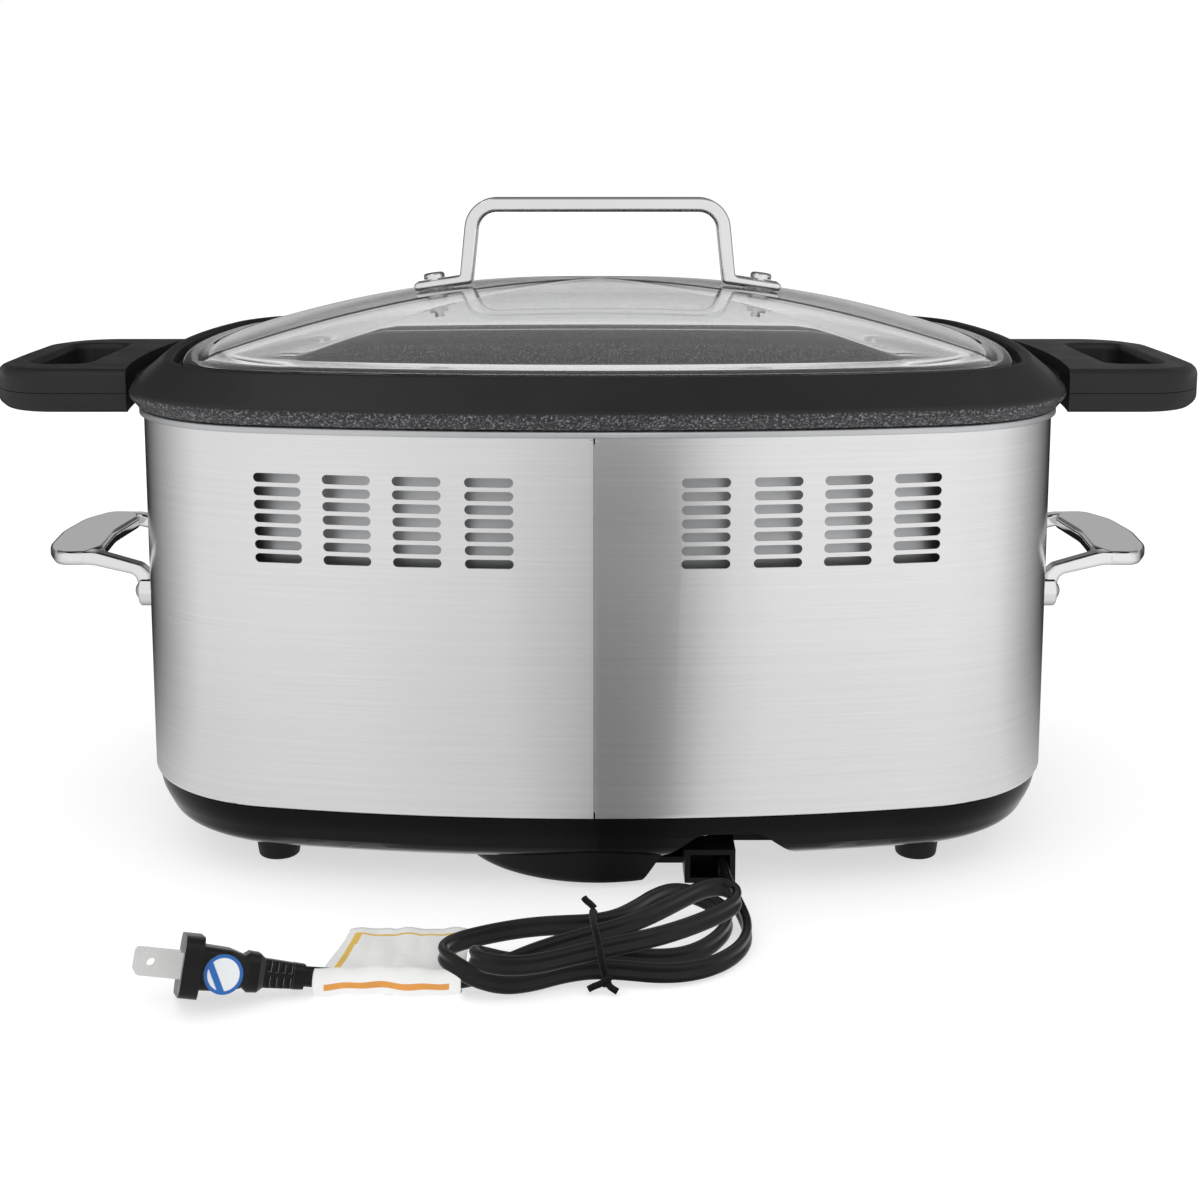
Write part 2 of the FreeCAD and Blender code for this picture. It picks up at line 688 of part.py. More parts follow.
def panel_slice(low_offset, high_offset, inset, corner):
    """A curved plate that follows the casing's front, with rounded corners in front view."""
    outline = rectangle(
        -PANEL_HALF_WIDTH + inset, PANEL_HALF_WIDTH - inset,
        PANEL_BOTTOM + inset, PANEL_TOP - inset, corner)
    stencil = slab(outline, HALF_DEPTH - SWEEP_MARGIN, HALF_DEPTH + SWEEP_MARGIN)
    layer = plan_ring(rectangle(low_offset, high_offset, PANEL_BOTTOM - 5, PANEL_TOP + 5, 0))
    return layer.common(stencil)


def display_stencil(grow):
    half, low, high = DISPLAY
    outline = rectangle(-half - grow, half + grow, low - grow, high + grow, 3.0 + grow)
    return slab(outline, HALF_DEPTH - SWEEP_MARGIN, HALF_DEPTH + SWEEP_MARGIN)


def key_places():
    return [index * KEY_PITCH for index in (-2, -1, 0, 1, 2)]


def make_control_bezel():
    bezel = panel_slice(0.0, PANEL_PROUD, 0.0, 12.0)
    rim = [e for e in bezel.Edges if is_panel_front(e)]
    bezel = bezel.makeFillet(1.6, rim)
    bezel = bezel.cut(panel_slice(-1.0, PANEL_PROUD - PANEL_SKIN, PLASTIC, 9.5))
    bezel = bezel.cut(display_stencil(0.0))
    for x in key_places():
        bezel = bezel.cut(Part.makeCylinder(KEY_R + GAP, 30.0, V(x, HALF_DEPTH - 10, KEY_Z), V(0, 1, 0)))
    return bezel


def is_panel_front(edge):
    """True for the edges round the bezel's outer face."""
    for vertex in edge.Vertexes:
        if abs(vertex.Y - back_y(vertex.X, PANEL_PROUD)) > 0.01:
            return False
    return True


def make_display_window():
    layer = panel_slice(PANEL_PROUD - 2.2, PANEL_PROUD - 0.4, 4.0, 8.0)
    return layer.common(display_stencil(0.0))


def make_display_module():
    half, low, high = DISPLAY
    outline = rectangle(-half - 1, half + 1, low - 1, high + 1, 1.0)
    front = BOARD_Y + BOARD_THICKNESS
    return slab(outline, front, front + 4.6)


def make_control_board():
    return slab(rectangle(-54.0, 54.0, 70.0, 122.0, 2.0), BOARD_Y, BOARD_Y + BOARD_THICKNESS)


def make_key_switches():
    front = BOARD_Y + BOARD_THICKNESS
    switches = []
    for x in key_places():
        body = slab(rectangle(x - 3, x + 3, KEY_Z - 3, KEY_Z + 3, 0.5), front, front + SWITCH_HEIGHT - 0.6)
        plunger = Part.makeCylinder(1.6, 0.6, V(x, front + SWITCH_HEIGHT - 0.6, KEY_Z), V(0, 1, 0))
        switches.append(fused([body, plunger]))
    return Part.makeCompound(switches)


def make_control_tray():
    """The tray that keeps the well's heat off the board; its rim touches the board's back."""
    back = slab(rectangle(-53.0, 53.0, 71.0, 121.0, 2.0), 125.6, 126.4)
    rim = slab(rectangle(-53.0, 53.0, 71.0, 121.0, 2.0), 126.4, BOARD_Y)
    rim = rim.cut(slab(rectangle(-51.0, 51.0, 73.0, 119.0, 1.0), 120.0, 130.0))
    return fused([back, rim])


def make_button(x):
    """A domed key cap with a flange behind the bezel and a stem towards its switch."""
    inner = back_y(abs(x) + KEY_R + 1.5, PANEL_PROUD - PANEL_SKIN) - GAP
    outer = min(back_y(x, PANEL_PROUD) + 0.8, HALF_DEPTH + 5.8)
    stem_end = BOARD_Y + BOARD_THICKNESS + SWITCH_HEIGHT + KEY_TRAVEL + 0.2
    cap = Part.makeCylinder(KEY_R, outer - inner + 1.0, V(x, inner - 1.0, KEY_Z), V(0, 1, 0))
    front = [e for e in cap.Edges if e.BoundBox.YMin > outer - 0.01]
    cap = cap.makeFillet(0.8, front)
    flange = Part.makeCylinder(KEY_R + 1.5, 1.0, V(x, inner - 1.0, KEY_Z), V(0, 1, 0))
    stem = Part.makeCylinder(2.6, max(inner - 1.0 - stem_end, 0.2) + 0.2, V(x, stem_end, KEY_Z), V(0, 1, 0))
    return fused([cap, flange, stem])


# ---------------------------------------------------------------- pot

def make_cooking_pot():
    """The cast pot: raised crest, ledge for the lid, sloping flange, tapered wall."""
    ledge = LID_RIM_TOP - GLASS - GAP
    floor = POT_BOTTOM + POT_WALL
    wall = plan_ring((
        (-8.2, CREST_Z + 0.6, 2.2), (6.2, 176.8, 2.6), (1.9, BEAD_TOP + GAP, 1.0),
        (-13.6, BEAD_TOP + GAP, 2.0), (-19.5, POT_BOTTOM, 20.0), (-48.0, POT_BOTTOM, 0),
        (-48.0, floor, 0), (-23.6, floor, 16.0), (-18.6, ledge, 1.5), (-12.4, ledge, 0.8),
        (-11.4, CREST_Z + 0.6, 1.4),
    ))
    base = plan_prism(-48.0, POT_BOTTOM, floor)
    x_in, x_out, half, z_low, z_high = LUG
    lug = plate(rectangle(x_in, x_out, -half, half, 4.0), z_low, z_high)
    inside = plan_prism(-15.0, z_low - 1, z_high + 1)
    lugs = [lug.cut(inside), mirrored(lug).cut(inside)]
    pot = fused([wall, base] + lugs)
    return pot.cut(grip_screw_holes(1.6))


def grip_screw_spots():
    return [V(x * GRIP_SCREW_X, y * GRIP_SCREW_Y, 0) for x in SIDES for y in SIDES]


def grip_screw_holes(radius):
    holes = [Part.makeCylinder(radius, 13.0, V(s.x, s.y, GRIP_BOTTOM - 1)) for s in grip_screw_spots()]
    return Part.makeCompound(holes)


def grip_form():
    """The right-hand pot handle as one solid, before it is split at its parting line."""
    body = plate((
        (176.0, -GRIP_HALF_WIDTH, 0), (GRIP_END - 12, -GRIP_HALF_WIDTH, 26.0),
        (GRIP_END, -34.0, 20.0), (GRIP_END + 0.6, 0.0, 200.0), (GRIP_END, 34.0, 20.0),
        (GRIP_END - 12, GRIP_HALF_WIDTH, 26.0), (176.0, GRIP_HALF_WIDTH, 0),
    ), GRIP_BOTTOM, GRIP_TOP)
    body = body.cut(plan_prism(7.4, GRIP_BOTTOM - 1, GRIP_TOP + 1))
    rims = [e for e in body.Edges if is_grip_outline(e)]
    body = body.makeFillet(4.6, rims)
    x_in, x_out, half = FINGER_SLOT
    slot = plate(rectangle(x_in, x_out, -half, half, 6.0), GRIP_BOTTOM - 1, GRIP_TOP + 1)
    body = body.cut(slot)
    lips = [e for e in body.Edges if is_slot_edge(e)]
    return body.makeFillet(2.6, lips)


def is_grip_outline(edge):
    """True for the level edges round the handle's free outline."""
    box = edge.BoundBox
    level = box.ZLength < 0.01 and (abs(box.ZMin - GRIP_BOTTOM) < 0.01 or abs(box.ZMin - GRIP_TOP) < 0.01)
    inner_end = box.XMax < 190.0
    return level and not inner_end


def is_slot_edge(edge):
    """True for the level edges round the finger slot."""
    x_in, x_out, half = FINGER_SLOT
    box = edge.BoundBox
    level = box.ZLength < 0.01 and (abs(box.ZMin - GRIP_BOTTOM) < 0.01 or abs(box.ZMin - GRIP_TOP) < 0.01)
    inside = box.XMin > x_in - 0.1 and box.XMax < x_out + 0.1
    return level and inside and max(abs(box.YMin), abs(box.YMax)) < half + 0.1


def make_grip_halves():
    """Upper and lower halves of the right-hand handle, hollowed round the pot's lug."""
    form = grip_form()
    x_in, x_out, half, z_low, z_high = LUG
    lug = plate(rectangle(x_in, x_out, -half, half, 4.0), z_low, z_high)
    line = 0.12
    upper = form.cut(block(150, 260, -80, 80, 150, GRIP_SPLIT + line)).cut(lug)
    lower = form.cut(block(150, 260, -80, 80, GRIP_SPLIT - line, 200)).cut(lug)
    upper = upper.cut(grip_screw_holes(1.6))
    lower = lower.cut(grip_screw_holes(1.6))
    for spot in grip_screw_spots():
        lower = lower.cut(Part.makeCylinder(3.6, 4.0, V(spot.x, spot.y, GRIP_BOTTOM - 1)))
    return upper, lower


def make_grip_screws():
    screws = []
    for spot in grip_screw_spots():
        head = Part.makeCylinder(3.2, 2.0, V(spot.x, spot.y, GRIP_BOTTOM + 1.0))
        shank = Part.makeCylinder(1.6, 8.4, V(spot.x, spot.y, GRIP_BOTTOM + 3.0))
        screws.append(fused([head, shank]))
    return Part.makeCompound(screws)


# ---------------------------------------------------------------- lid

DOME_INSET = -19.5
LID_SCREW_X = 67.0


def dome_z(x, lift=0.0):
    """Height of the glass above x on the lid's long axis."""
    share = x / (HALF_WIDTH + DOME_INSET)
    return LID_RIM_TOP + lift + LID_RISE * (1 - share ** 2)


def dome_solid(lift):
    """The dome's form, from its rim to a small flat at the crown."""
    shares = (1.0, 0.86, 0.7, 0.52, 0.34, 0.16, 0.05)
    wires = [plan_wire(DOME_INSET, dome_z(s * (HALF_WIDTH + DOME_INSET), lift), s) for s in shares]
    return Part.makeLoft(wires, True, False)


def make_lid_glass():
    rim = plan_ring((
        (-14.5, LID_RIM_TOP, 1.6), (DOME_INSET, LID_RIM_TOP, 0), (DOME_INSET - 6, LID_RIM_TOP, 0),
        (DOME_INSET - 6, LID_RIM_TOP - GLASS, 0), (-14.5, LID_RIM_TOP - GLASS, 1.6)))
    under = dome_solid(-GLASS)
    glass = fused([rim.cut(under), dome_solid(0.0).cut(under)])
    return glass.cut(lid_screw_holes(2.3))


TAB_TILT = math.degrees(math.atan(2 * LID_RISE * LID_SCREW_X / (HALF_WIDTH + DOME_INSET) ** 2))


def make_lid_handle():
    """A bent bar: two flat tabs on the glass, two splayed legs and a level grip."""
    lift = 0.5
    tab_thickness = 3.6
    inner_low = dome_z(51.0) + lift
    outer_low = dome_z(76.0) + lift - 0.3
    outer_side = (
        (76.0, outer_low, 1.7), (75.4, outer_low + tab_thickness, 1.7),
        (56.8, dome_z(56.8) + lift + tab_thickness, 1.6), (53.4, LID_HANDLE_TOP, 13.0),
    )
    inner_side = ((48.4, LID_HANDLE_TOP - 5.8, 8.0), (51.6, inner_low, 1.7))
    outline = outer_side + flipped(outer_side) + flipped(inner_side) + inner_side
    bar = slab(outline, -6.0, 6.0)
    long_edges = [e for e in bar.Edges if e.BoundBox.YLength < 0.01]
    bar = bar.makeFillet(1.4, long_edges)
    return bar.cut(lid_screw_holes(2.1))


def screw_axis(side):
    """The lid screw's direction, square to the glass."""
    tilt = math.radians(TAB_TILT)
    return V(side * math.sin(tilt), 0, math.cos(tilt))


def lid_screw_holes(radius):
    holes = []
    for side in SIDES:
        axis = screw_axis(side)
        start = V(side * LID_SCREW_X, 0, dome_z(LID_SCREW_X)) - axis * 10
        holes.append(Part.makeCylinder(radius, 24.0, start, axis))
    return Part.makeCompound(holes)


def lid_stack(radius, low, high):
    """One disc on each lid screw's axis, between two heights above the glass."""
    discs = []
    for side in SIDES:
        axis = screw_axis(side)
        start = V(side * LID_SCREW_X, 0, dome_z(LID_SCREW_X)) + axis * low
        discs.append(Part.makeCylinder(radius, high - low, start, axis))
    return discs


def make_lid_screws():
    """Low domed heads on the tabs, shanks through tab and glass."""
    screws = []
    for shank, head in zip(lid_stack(2.0, -12.0, 4.6), lid_stack(4.4, 4.3, 6.6)):
        top = [e for e in head.Edges if e.BoundBox.ZMin > head.BoundBox.ZMax - 1.4]
        head = head.makeFillet(1.3, top)
        screws.append(fused([shank, head]))
    return Part.makeCompound(screws)


def make_lid_washers():
    """Clear sealing washers under the glass."""
    washers = []
    for washer in lid_stack(7.0, -GLASS - 2.4, -GLASS + 0.4):
        washer = washer.cut(dome_solid(0.0).cut(dome_solid(-GLASS)))
        washers.append(washer.cut(lid_screw_holes(2.0)))
    return Part.makeCompound([w.Solids[0] for w in washers])


def make_lid_nuts():
    nuts = []
    for nut in lid_stack(4.0, -GLASS - 6.0, -GLASS - 2.4):
        nuts.append(nut.cut(lid_screw_holes(2.0)))
    return Part.makeCompound(nuts)


# ---------------------------------------------------------------- lead

def make_cord_outlet():
    """The square block through which the lead leaves, open to the back."""
    x_low, x_high, y_low, y_high, z_low, z_high = OUTLET
    wall = OUTLET_WALL
    body = block(x_low, x_high, y_low, y_high, z_low, z_high)
    hollow = block(x_low + wall, x_high - wall, y_low - 1, y_high - wall, z_low + wall, z_high - wall)
    body = body.cut(hollow)
    return body.cut(base_form().cut(cord_arch()))


def make_hank():
    """The folded bundle of the lead, drawn in at its tie."""
    wires = []
    for x, y, half, bottom, height in HANK:
        middle = V(x, y, bottom + height / 2)
        turned = Part.Ellipse(middle, half, height / 2)
        turned.Axis = V(1, 0, 0)
        turned.XAxis = V(0, 1, 0)
        wires.append(Part.Wire([turned.toShape()]))
    return Part.makeLoft(wires, True, False)


def make_twist_tie():
    x, y, half, bottom, height = HANK[3]
    middle = V(x, y, bottom + height / 2)
    loop = Part.Ellipse(middle, half + TIE_R * 0.4, height / 2 + TIE_R * 0.4)
    loop.Axis = V(1, 0, 0)
    loop.XAxis = V(0, 1, 0)
    start = middle + V(0, half + TIE_R * 0.4, 0)
    ring = Part.Wire([Part.Circle(start, UP, TIE_R).toShape()])
    return Part.Wire([loop.toShape()]).makePipeShell([ring], True, False)


def make_cord_tag(cord):
    """A paper tag: a sleeve round the lead and a flap that lies on the table beside the hank."""
    x_low, x_high, y_low, y_high = TAG
    x_notch, y_notch = TAG_NOTCH
    sleeve = tube(END_ROUTE, CORD_R + PAPER_GAP)[0].common(block(SLEEVE_START, x_notch, -220, -190, 0, 20))
    flap = plate((
        (x_low, y_low, 1.0), (x_notch, y_low, 0), (x_notch, y_notch, 0),
        (x_high, y_notch, 0), (x_high, y_high, 1.0), (x_low, y_high, 1.0)), 0.3, 0.8)
    return fused([sleeve, flap]).cut(cord)


def on_plug(shape):
    """Moves a shape from the plug's own axes, with +X towards the lead, to where the plug lies."""
    placed = shape.copy()
    placed.rotate(V(0, 0, 0), V(1, 0, 0), PLUG_ROLL)
    placed.rotate(V(0, 0, 0), V(0, 1, 0), PLUG_PITCH)
    placed.rotate(V(0, 0, 0), UP, PLUG_YAW)
    placed.translate(V(*PLUG_FLANGE))
    return placed


def plug_loft(sections):
    """A ruled solid through rounded sections of (along, half width, half height, corner radius)."""
    wires = []
    for along, half_y, half_z, radius in sections:
        corners = rectangle(-half_y, half_y, -half_z, half_z, radius)
        wires.append(rounded_wire(corners, lambda p, along=along: V(along, p.x, p.y)))
    return Part.makeLoft(wires, True, True)


def make_plug_body():
    """The moulded plug: a flange at the blades, a body that narrows to a waist, and a collar."""
    flange = plug_loft(((-FLANGE_HALF, 12.0, 9.5, 4.0), (FLANGE_HALF, 12.0, 9.5, 4.0)))
    body = plug_loft((
        (FLANGE_HALF, PLUG_SIDE, 6.8, 2.4), (12.0, PLUG_SIDE, 6.3, 2.4), (16.6, 6.8, 5.0, 2.4)))
    collar = plug_loft((
        (16.6, 6.8, 5.0, 2.4), (18.2, 7.2, 6.2, 3.0), (21.4, 7.0, 6.0, 3.0), (RELIEF_START, 4.8, 4.6, 2.0)))
    return on_plug(fused([flange, body, collar]))


def make_plug_relief(cord):
    """The strain relief behind the plug: a slotted sleeve and an end collar."""
    sleeve = plug_loft(((RELIEF_START, 4.7, 4.5, 2.0), (RELIEF_COLLAR, 4.2, 4.0, 2.0)))
    slots = []
    for index in range(RELIEF_SLOTS):
        along = RELIEF_START + 0.9 + index * RELIEF_PITCH
        for side in SIDES:
            for row in SIDES:
                low_y, high_y = sorted((side * 3.3, side * 6.0))
                low_z, high_z = sorted((row * 0.7, row * 6.0))
                slots.append(block(along, along + 1.2, low_y, high_y, low_z, high_z))
    collar = plug_loft(((RELIEF_COLLAR, 4.4, 4.1, 2.0), (RELIEF_END, 4.2, 3.9, 2.0)))
    sleeve = sleeve.cut(Part.makeCompound(slots))
    return on_plug(fused([sleeve, collar])).cut(cord)


def make_plug_blades():
    blades = []
    for shift in SIDES:
        tip = (
            (BLADE_TIP, -BLADE_HALF_WIDTH, 1.6), (-FLANGE_HALF, -BLADE_HALF_WIDTH, 0),
            (-FLANGE_HALF, BLADE_HALF_WIDTH, 0), (BLADE_TIP, BLADE_HALF_WIDTH, 1.6))
        y = shift * BLADE_SPACING / 2
        blade = slab(tip, y - BLADE_THICKNESS / 2, y + BLADE_THICKNESS / 2)
        hole = Part.makeCylinder(1.6, 4.0, V(BLADE_TIP + 5.0, y - 2, 0), V(0, 1, 0))
        blades.append(on_plug(blade.cut(hole)))
    return Part.makeCompound(blades)


def make_plug_sticker():
    """A thin round label on the plug's flat side."""
    return on_plug(Part.makeCylinder(6.1, 0.2, V(10.0, -PLUG_SIDE, -1.1), V(0, -1, 0)))


# ---------------------------------------------------------------- assembly

def build():
    parts = {}
    parts["outer_shell"] = make_outer_shell()
    parts["seam_strip"] = make_seam_strip()
    parts["heating_well"] = make_heating_well()
    parts["base_moulding"] = make_base_moulding()
    parts["bottom_pan"] = make_bottom_pan()
    parts["cord_hub"] = make_cord_hub()
    names = ("foot_back_left", "foot_back_right", "foot_front_left", "foot_front_right")
    for name, spot in zip(names, foot_spots()):
        parts[name] = make_foot(spot)
    parts["foot_screws"] = make_foot_screws()

    parts["side_handle_right"] = make_carry_handle()
    parts["side_handle_left"] = mirrored(parts["side_handle_right"])
    parts["side_handle_discs"] = make_carry_discs()
    parts["side_handle_rivets"] = make_carry_rivets(parts["side_handle_right"])

    parts["heating_element"] = make_heating_element()
    parts["heater_plate"] = make_heater_plate(parts["heating_element"])
    parts["terminal_insulators"] = make_terminal_insulators(parts["heating_element"])
    parts["temp_sensor"] = make_temp_sensor()
    parts["sensor_bridge"] = make_sensor_bridge()
    parts["sensor_spring"] = make_sensor_spring()
    parts["thermal_fuse"] = make_thermal_fuse()
    parts["fuse_clip"] = make_fuse_clip(parts["thermal_fuse"])

    parts["power_board"] = make_power_board()
    parts["relay"] = make_relay()
    parts["capacitor"] = make_capacitor()
    parts["terminal_block"] = make_terminal_block()
    parts["inner_wiring"] = make_inner_wiring()

    parts["control_bezel"] = make_control_bezel()
    parts["display_window"] = make_display_window()
    parts["display_module"] = make_display_module()
    parts["control_board"] = make_control_board()
    parts["key_switches"] = make_key_switches()
    parts["control_tray"] = make_control_tray()
    key_names = ("power_button", "program_button", "heat_button", "time_down_button", "time_up_button")
    for name, x in zip(key_names, key_places()):
        parts[name] = make_button(x)

    parts["cooking_pot"] = make_cooking_pot()
    upper, lower = make_grip_halves()
    parts["pot_handle_right_upper"] = upper
    parts["pot_handle_right_lower"] = lower
    parts["pot_handle_left_upper"] = mirrored(upper)
    parts["pot_handle_left_lower"] = mirrored(lower)
    parts["pot_handle_screws"] = make_grip_screws()

    parts["lid_glass"] = make_lid_glass()
    parts["lid_handle"] = make_lid_handle()
    parts["lid_screws"] = make_lid_screws()
    parts["lid_washers"] = make_lid_washers()
    parts["lid_nuts"] = make_lid_nuts()

    lead, lead_length, lead_radii = tube(LEAD_ROUTE, CORD_R)
    end, end_length, end_radii = tube(END_ROUTE, CORD_R)
    tie = make_twist_tie()
    hank = make_hank().cut(tie)
    parts["cord_outlet"] = make_cord_outlet()
    parts["twist_tie"] = tie
    parts["cord_hank"] = hank
    parts["cord_lead"] = lead
    parts["cord_end"] = end
    parts["cord_tag"] = make_cord_tag(end)
    parts["plug_body"] = make_plug_body()
    parts["plug_relief"] = make_plug_relief(end)
    parts["plug_blades"] = make_plug_blades()
    parts["plug_sticker"] = make_plug_sticker()

    for label, shape, length, radii in (
            ("cord_lead", lead, lead_length, lead_radii), ("cord_end", end, end_length, end_radii)):
        expected = math.pi * CORD_R ** 2 * length
        print(label, "radii", [round(r, 1) for r in radii], "length", round(length, 1),
              "volume over section x length", round(shape.Volume / expected, 4))
    return parts


def write(parts):
    os.makedirs("parts", exist_ok=True)
    for name, shape in parts.items():
        solids = len(shape.Solids)
        box = shape.BoundBox
        print(f"{name:26s} solids {solids} valid {shape.isValid()} volume {shape.Volume:10.1f}",
              f"z {box.ZMin:.2f}..{box.ZMax:.2f}")
        shape.exportStep(os.path.join("parts", name + ".step"))


write(build())
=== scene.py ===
import json
import math

import bpy
from mathutils import Matrix, Vector


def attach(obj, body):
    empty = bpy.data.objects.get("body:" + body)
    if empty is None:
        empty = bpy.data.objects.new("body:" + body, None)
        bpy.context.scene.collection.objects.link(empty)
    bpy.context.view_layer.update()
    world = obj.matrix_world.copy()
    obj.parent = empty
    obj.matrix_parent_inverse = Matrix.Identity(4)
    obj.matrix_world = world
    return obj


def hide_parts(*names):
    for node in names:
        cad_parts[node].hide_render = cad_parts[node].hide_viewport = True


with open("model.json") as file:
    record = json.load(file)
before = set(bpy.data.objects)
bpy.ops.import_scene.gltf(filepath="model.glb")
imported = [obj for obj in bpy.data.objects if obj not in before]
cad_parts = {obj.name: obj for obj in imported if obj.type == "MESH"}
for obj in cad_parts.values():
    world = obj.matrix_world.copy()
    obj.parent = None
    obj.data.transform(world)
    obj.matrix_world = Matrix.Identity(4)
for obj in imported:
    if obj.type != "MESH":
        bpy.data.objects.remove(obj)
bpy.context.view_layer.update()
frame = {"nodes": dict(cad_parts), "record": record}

# Metres throughout. The back of the cooker, with its vents and its lead, faces -Y.

nodes = frame["nodes"]
scene = bpy.context.scene
MM = 0.001

# ---------------------------------------------------------------- camera

LENS_MM = 55.4
CAMERA_PITCH = math.radians(8.71)
camera_data = bpy.data.cameras.new("camera")
camera_data.lens = LENS_MM
camera_data.sensor_width = 36.0
camera_data.shift_x = 0.002
camera_data.shift_y = -0.15
camera = bpy.data.objects.new("camera", camera_data)
camera.location = (0.0, -0.7656, 0.2715)
camera.rotation_euler = (math.pi / 2 - CAMERA_PITCH, 0.0, 0.0)
scene.collection.objects.link(camera)
scene.camera = camera
scene.view_settings.view_transform = "Standard"
scene.view_settings.look = "None"


# ---------------------------------------------------------------- node helpers

def new_material(name):
    """A material with an empty tree, its output and one Principled shader."""
    material = bpy.data.materials.new(name)
    material.use_nodes = True
    tree = material.node_tree
    tree.nodes.clear()
    output = tree.nodes.new("ShaderNodeOutputMaterial")
    shader = tree.nodes.new("ShaderNodeBsdfPrincipled")
    tree.links.new(shader.outputs["BSDF"], output.inputs["Surface"])
    return material, tree, shader


def object_noise(tree, scale, detail=4.0, roughness=0.55, stretch=(1, 1, 1)):
    """Noise in the piece's own coordinates, stretched along an axis if asked."""
    where = tree.nodes.new("ShaderNodeTexCoord")
    mapping = tree.nodes.new("ShaderNodeMapping")
    mapping.inputs["Scale"].default_value = stretch
    noise = tree.nodes.new("ShaderNodeTexNoise")
    noise.inputs["Scale"].default_value = scale
    noise.inputs["Detail"].default_value = detail
    noise.inputs["Roughness"].default_value = roughness
    tree.links.new(where.outputs["Object"], mapping.inputs["Vector"])
    tree.links.new(mapping.outputs["Vector"], noise.inputs["Vector"])
    return noise.outputs["Fac"]


def ramp(tree, source, stops):
    """A colour ramp of (place, colour) stops."""
    node = tree.nodes.new("ShaderNodeValToRGB")
    elements = node.color_ramp.elements
    while len(elements) < len(stops):
        elements.new(0.5)
    for element, (place, colour) in zip(elements, stops):
        element.position = place
        element.color = (*colour, 1.0)
    tree.links.new(source, node.inputs["Fac"])
    return node.outputs["Color"]


def ranged(tree, source, low, high, from_low=0.3, from_high=0.7):
    """A value brought into a range."""
    node = tree.nodes.new("ShaderNodeMapRange")
    node.inputs["From Min"].default_value = from_low
    node.inputs["From Max"].default_value = from_high
    node.inputs["To Min"].default_value = low
    node.inputs["To Max"].default_value = high
    tree.links.new(source, node.inputs["Value"])
    return node.outputs["Result"]


def bump(tree, height, strength, distance, below=None):
    """A bumped normal from a height, over another normal if one is given."""
    node = tree.nodes.new("ShaderNodeBump")
    node.inputs["Strength"].default_value = strength
    node.inputs["Distance"].default_value = distance
    tree.links.new(height, node.inputs["Height"])
    if below is not None:
        tree.links.new(below, node.inputs["Normal"])
    return node.outputs["Normal"]


def scaled(colour, factor):
    """A colour made lighter or darker."""
    return tuple(min(1.0, channel * factor) for channel in colour)


def surface(name, colour, roughness, metallic=0.0, vary=0.12, vary_scale=30.0, grain_scale=900.0,
            grain=0.15, grain_depth=0.0001, rough_vary=0.05, specular=0.5, coat=0.0, stretch=(1, 1, 1)):
    """A moulded, cast or painted surface: cloudy colour, uneven gloss and a fine grain."""
    material, tree, shader = new_material(name)
    cloud = object_noise(tree, vary_scale, 5.0, 0.6, stretch)
    shade = ramp(tree, cloud, ((0.3, scaled(colour, 1 - vary)), (0.7, scaled(colour, 1 + vary))))
    tree.links.new(shade, shader.inputs["Base Color"])
    smear = object_noise(tree, vary_scale * 2.3, 6.0, 0.65, stretch)
    tree.links.new(ranged(tree, smear, roughness - rough_vary, roughness + rough_vary),
                   shader.inputs["Roughness"])
    fine = object_noise(tree, grain_scale, 3.0, 0.6, stretch)
    tree.links.new(bump(tree, fine, grain, grain_depth), shader.inputs["Normal"])
    shader.inputs["Metallic"].default_value = metallic
    shader.inputs["Specular IOR Level"].default_value = specular
    shader.inputs["Coat Weight"].default_value = coat
    shader.inputs["Coat Roughness"].default_value = 0.06
    return material


# ---------------------------------------------------------------- materials

SEAM_X = -0.0012
SEAM_REACH = 0.03
SEAM_SLOPE = 0.03


def seam_ridge(tree):
    """The casing's low rise towards its seam, where its two edges meet: a height in metres."""
    where = tree.nodes.new("ShaderNodeTexCoord")
    parts = tree.nodes.new("ShaderNodeSeparateXYZ")
    tree.links.new(where.outputs["Object"], parts.inputs["Vector"])
    value = parts.outputs["X"]
    for operation, amount in (("SUBTRACT", SEAM_X), ("ABSOLUTE", None), ("DIVIDE", -SEAM_REACH),
                              ("EXPONENT", None), ("MULTIPLY", SEAM_SLOPE * SEAM_REACH)):
        node = tree.nodes.new("ShaderNodeMath")
        node.operation = operation
        tree.links.new(value, node.inputs[0])
        if amount is not None:
            node.inputs[1].default_value = amount
        value = node.outputs["Value"]
    return value


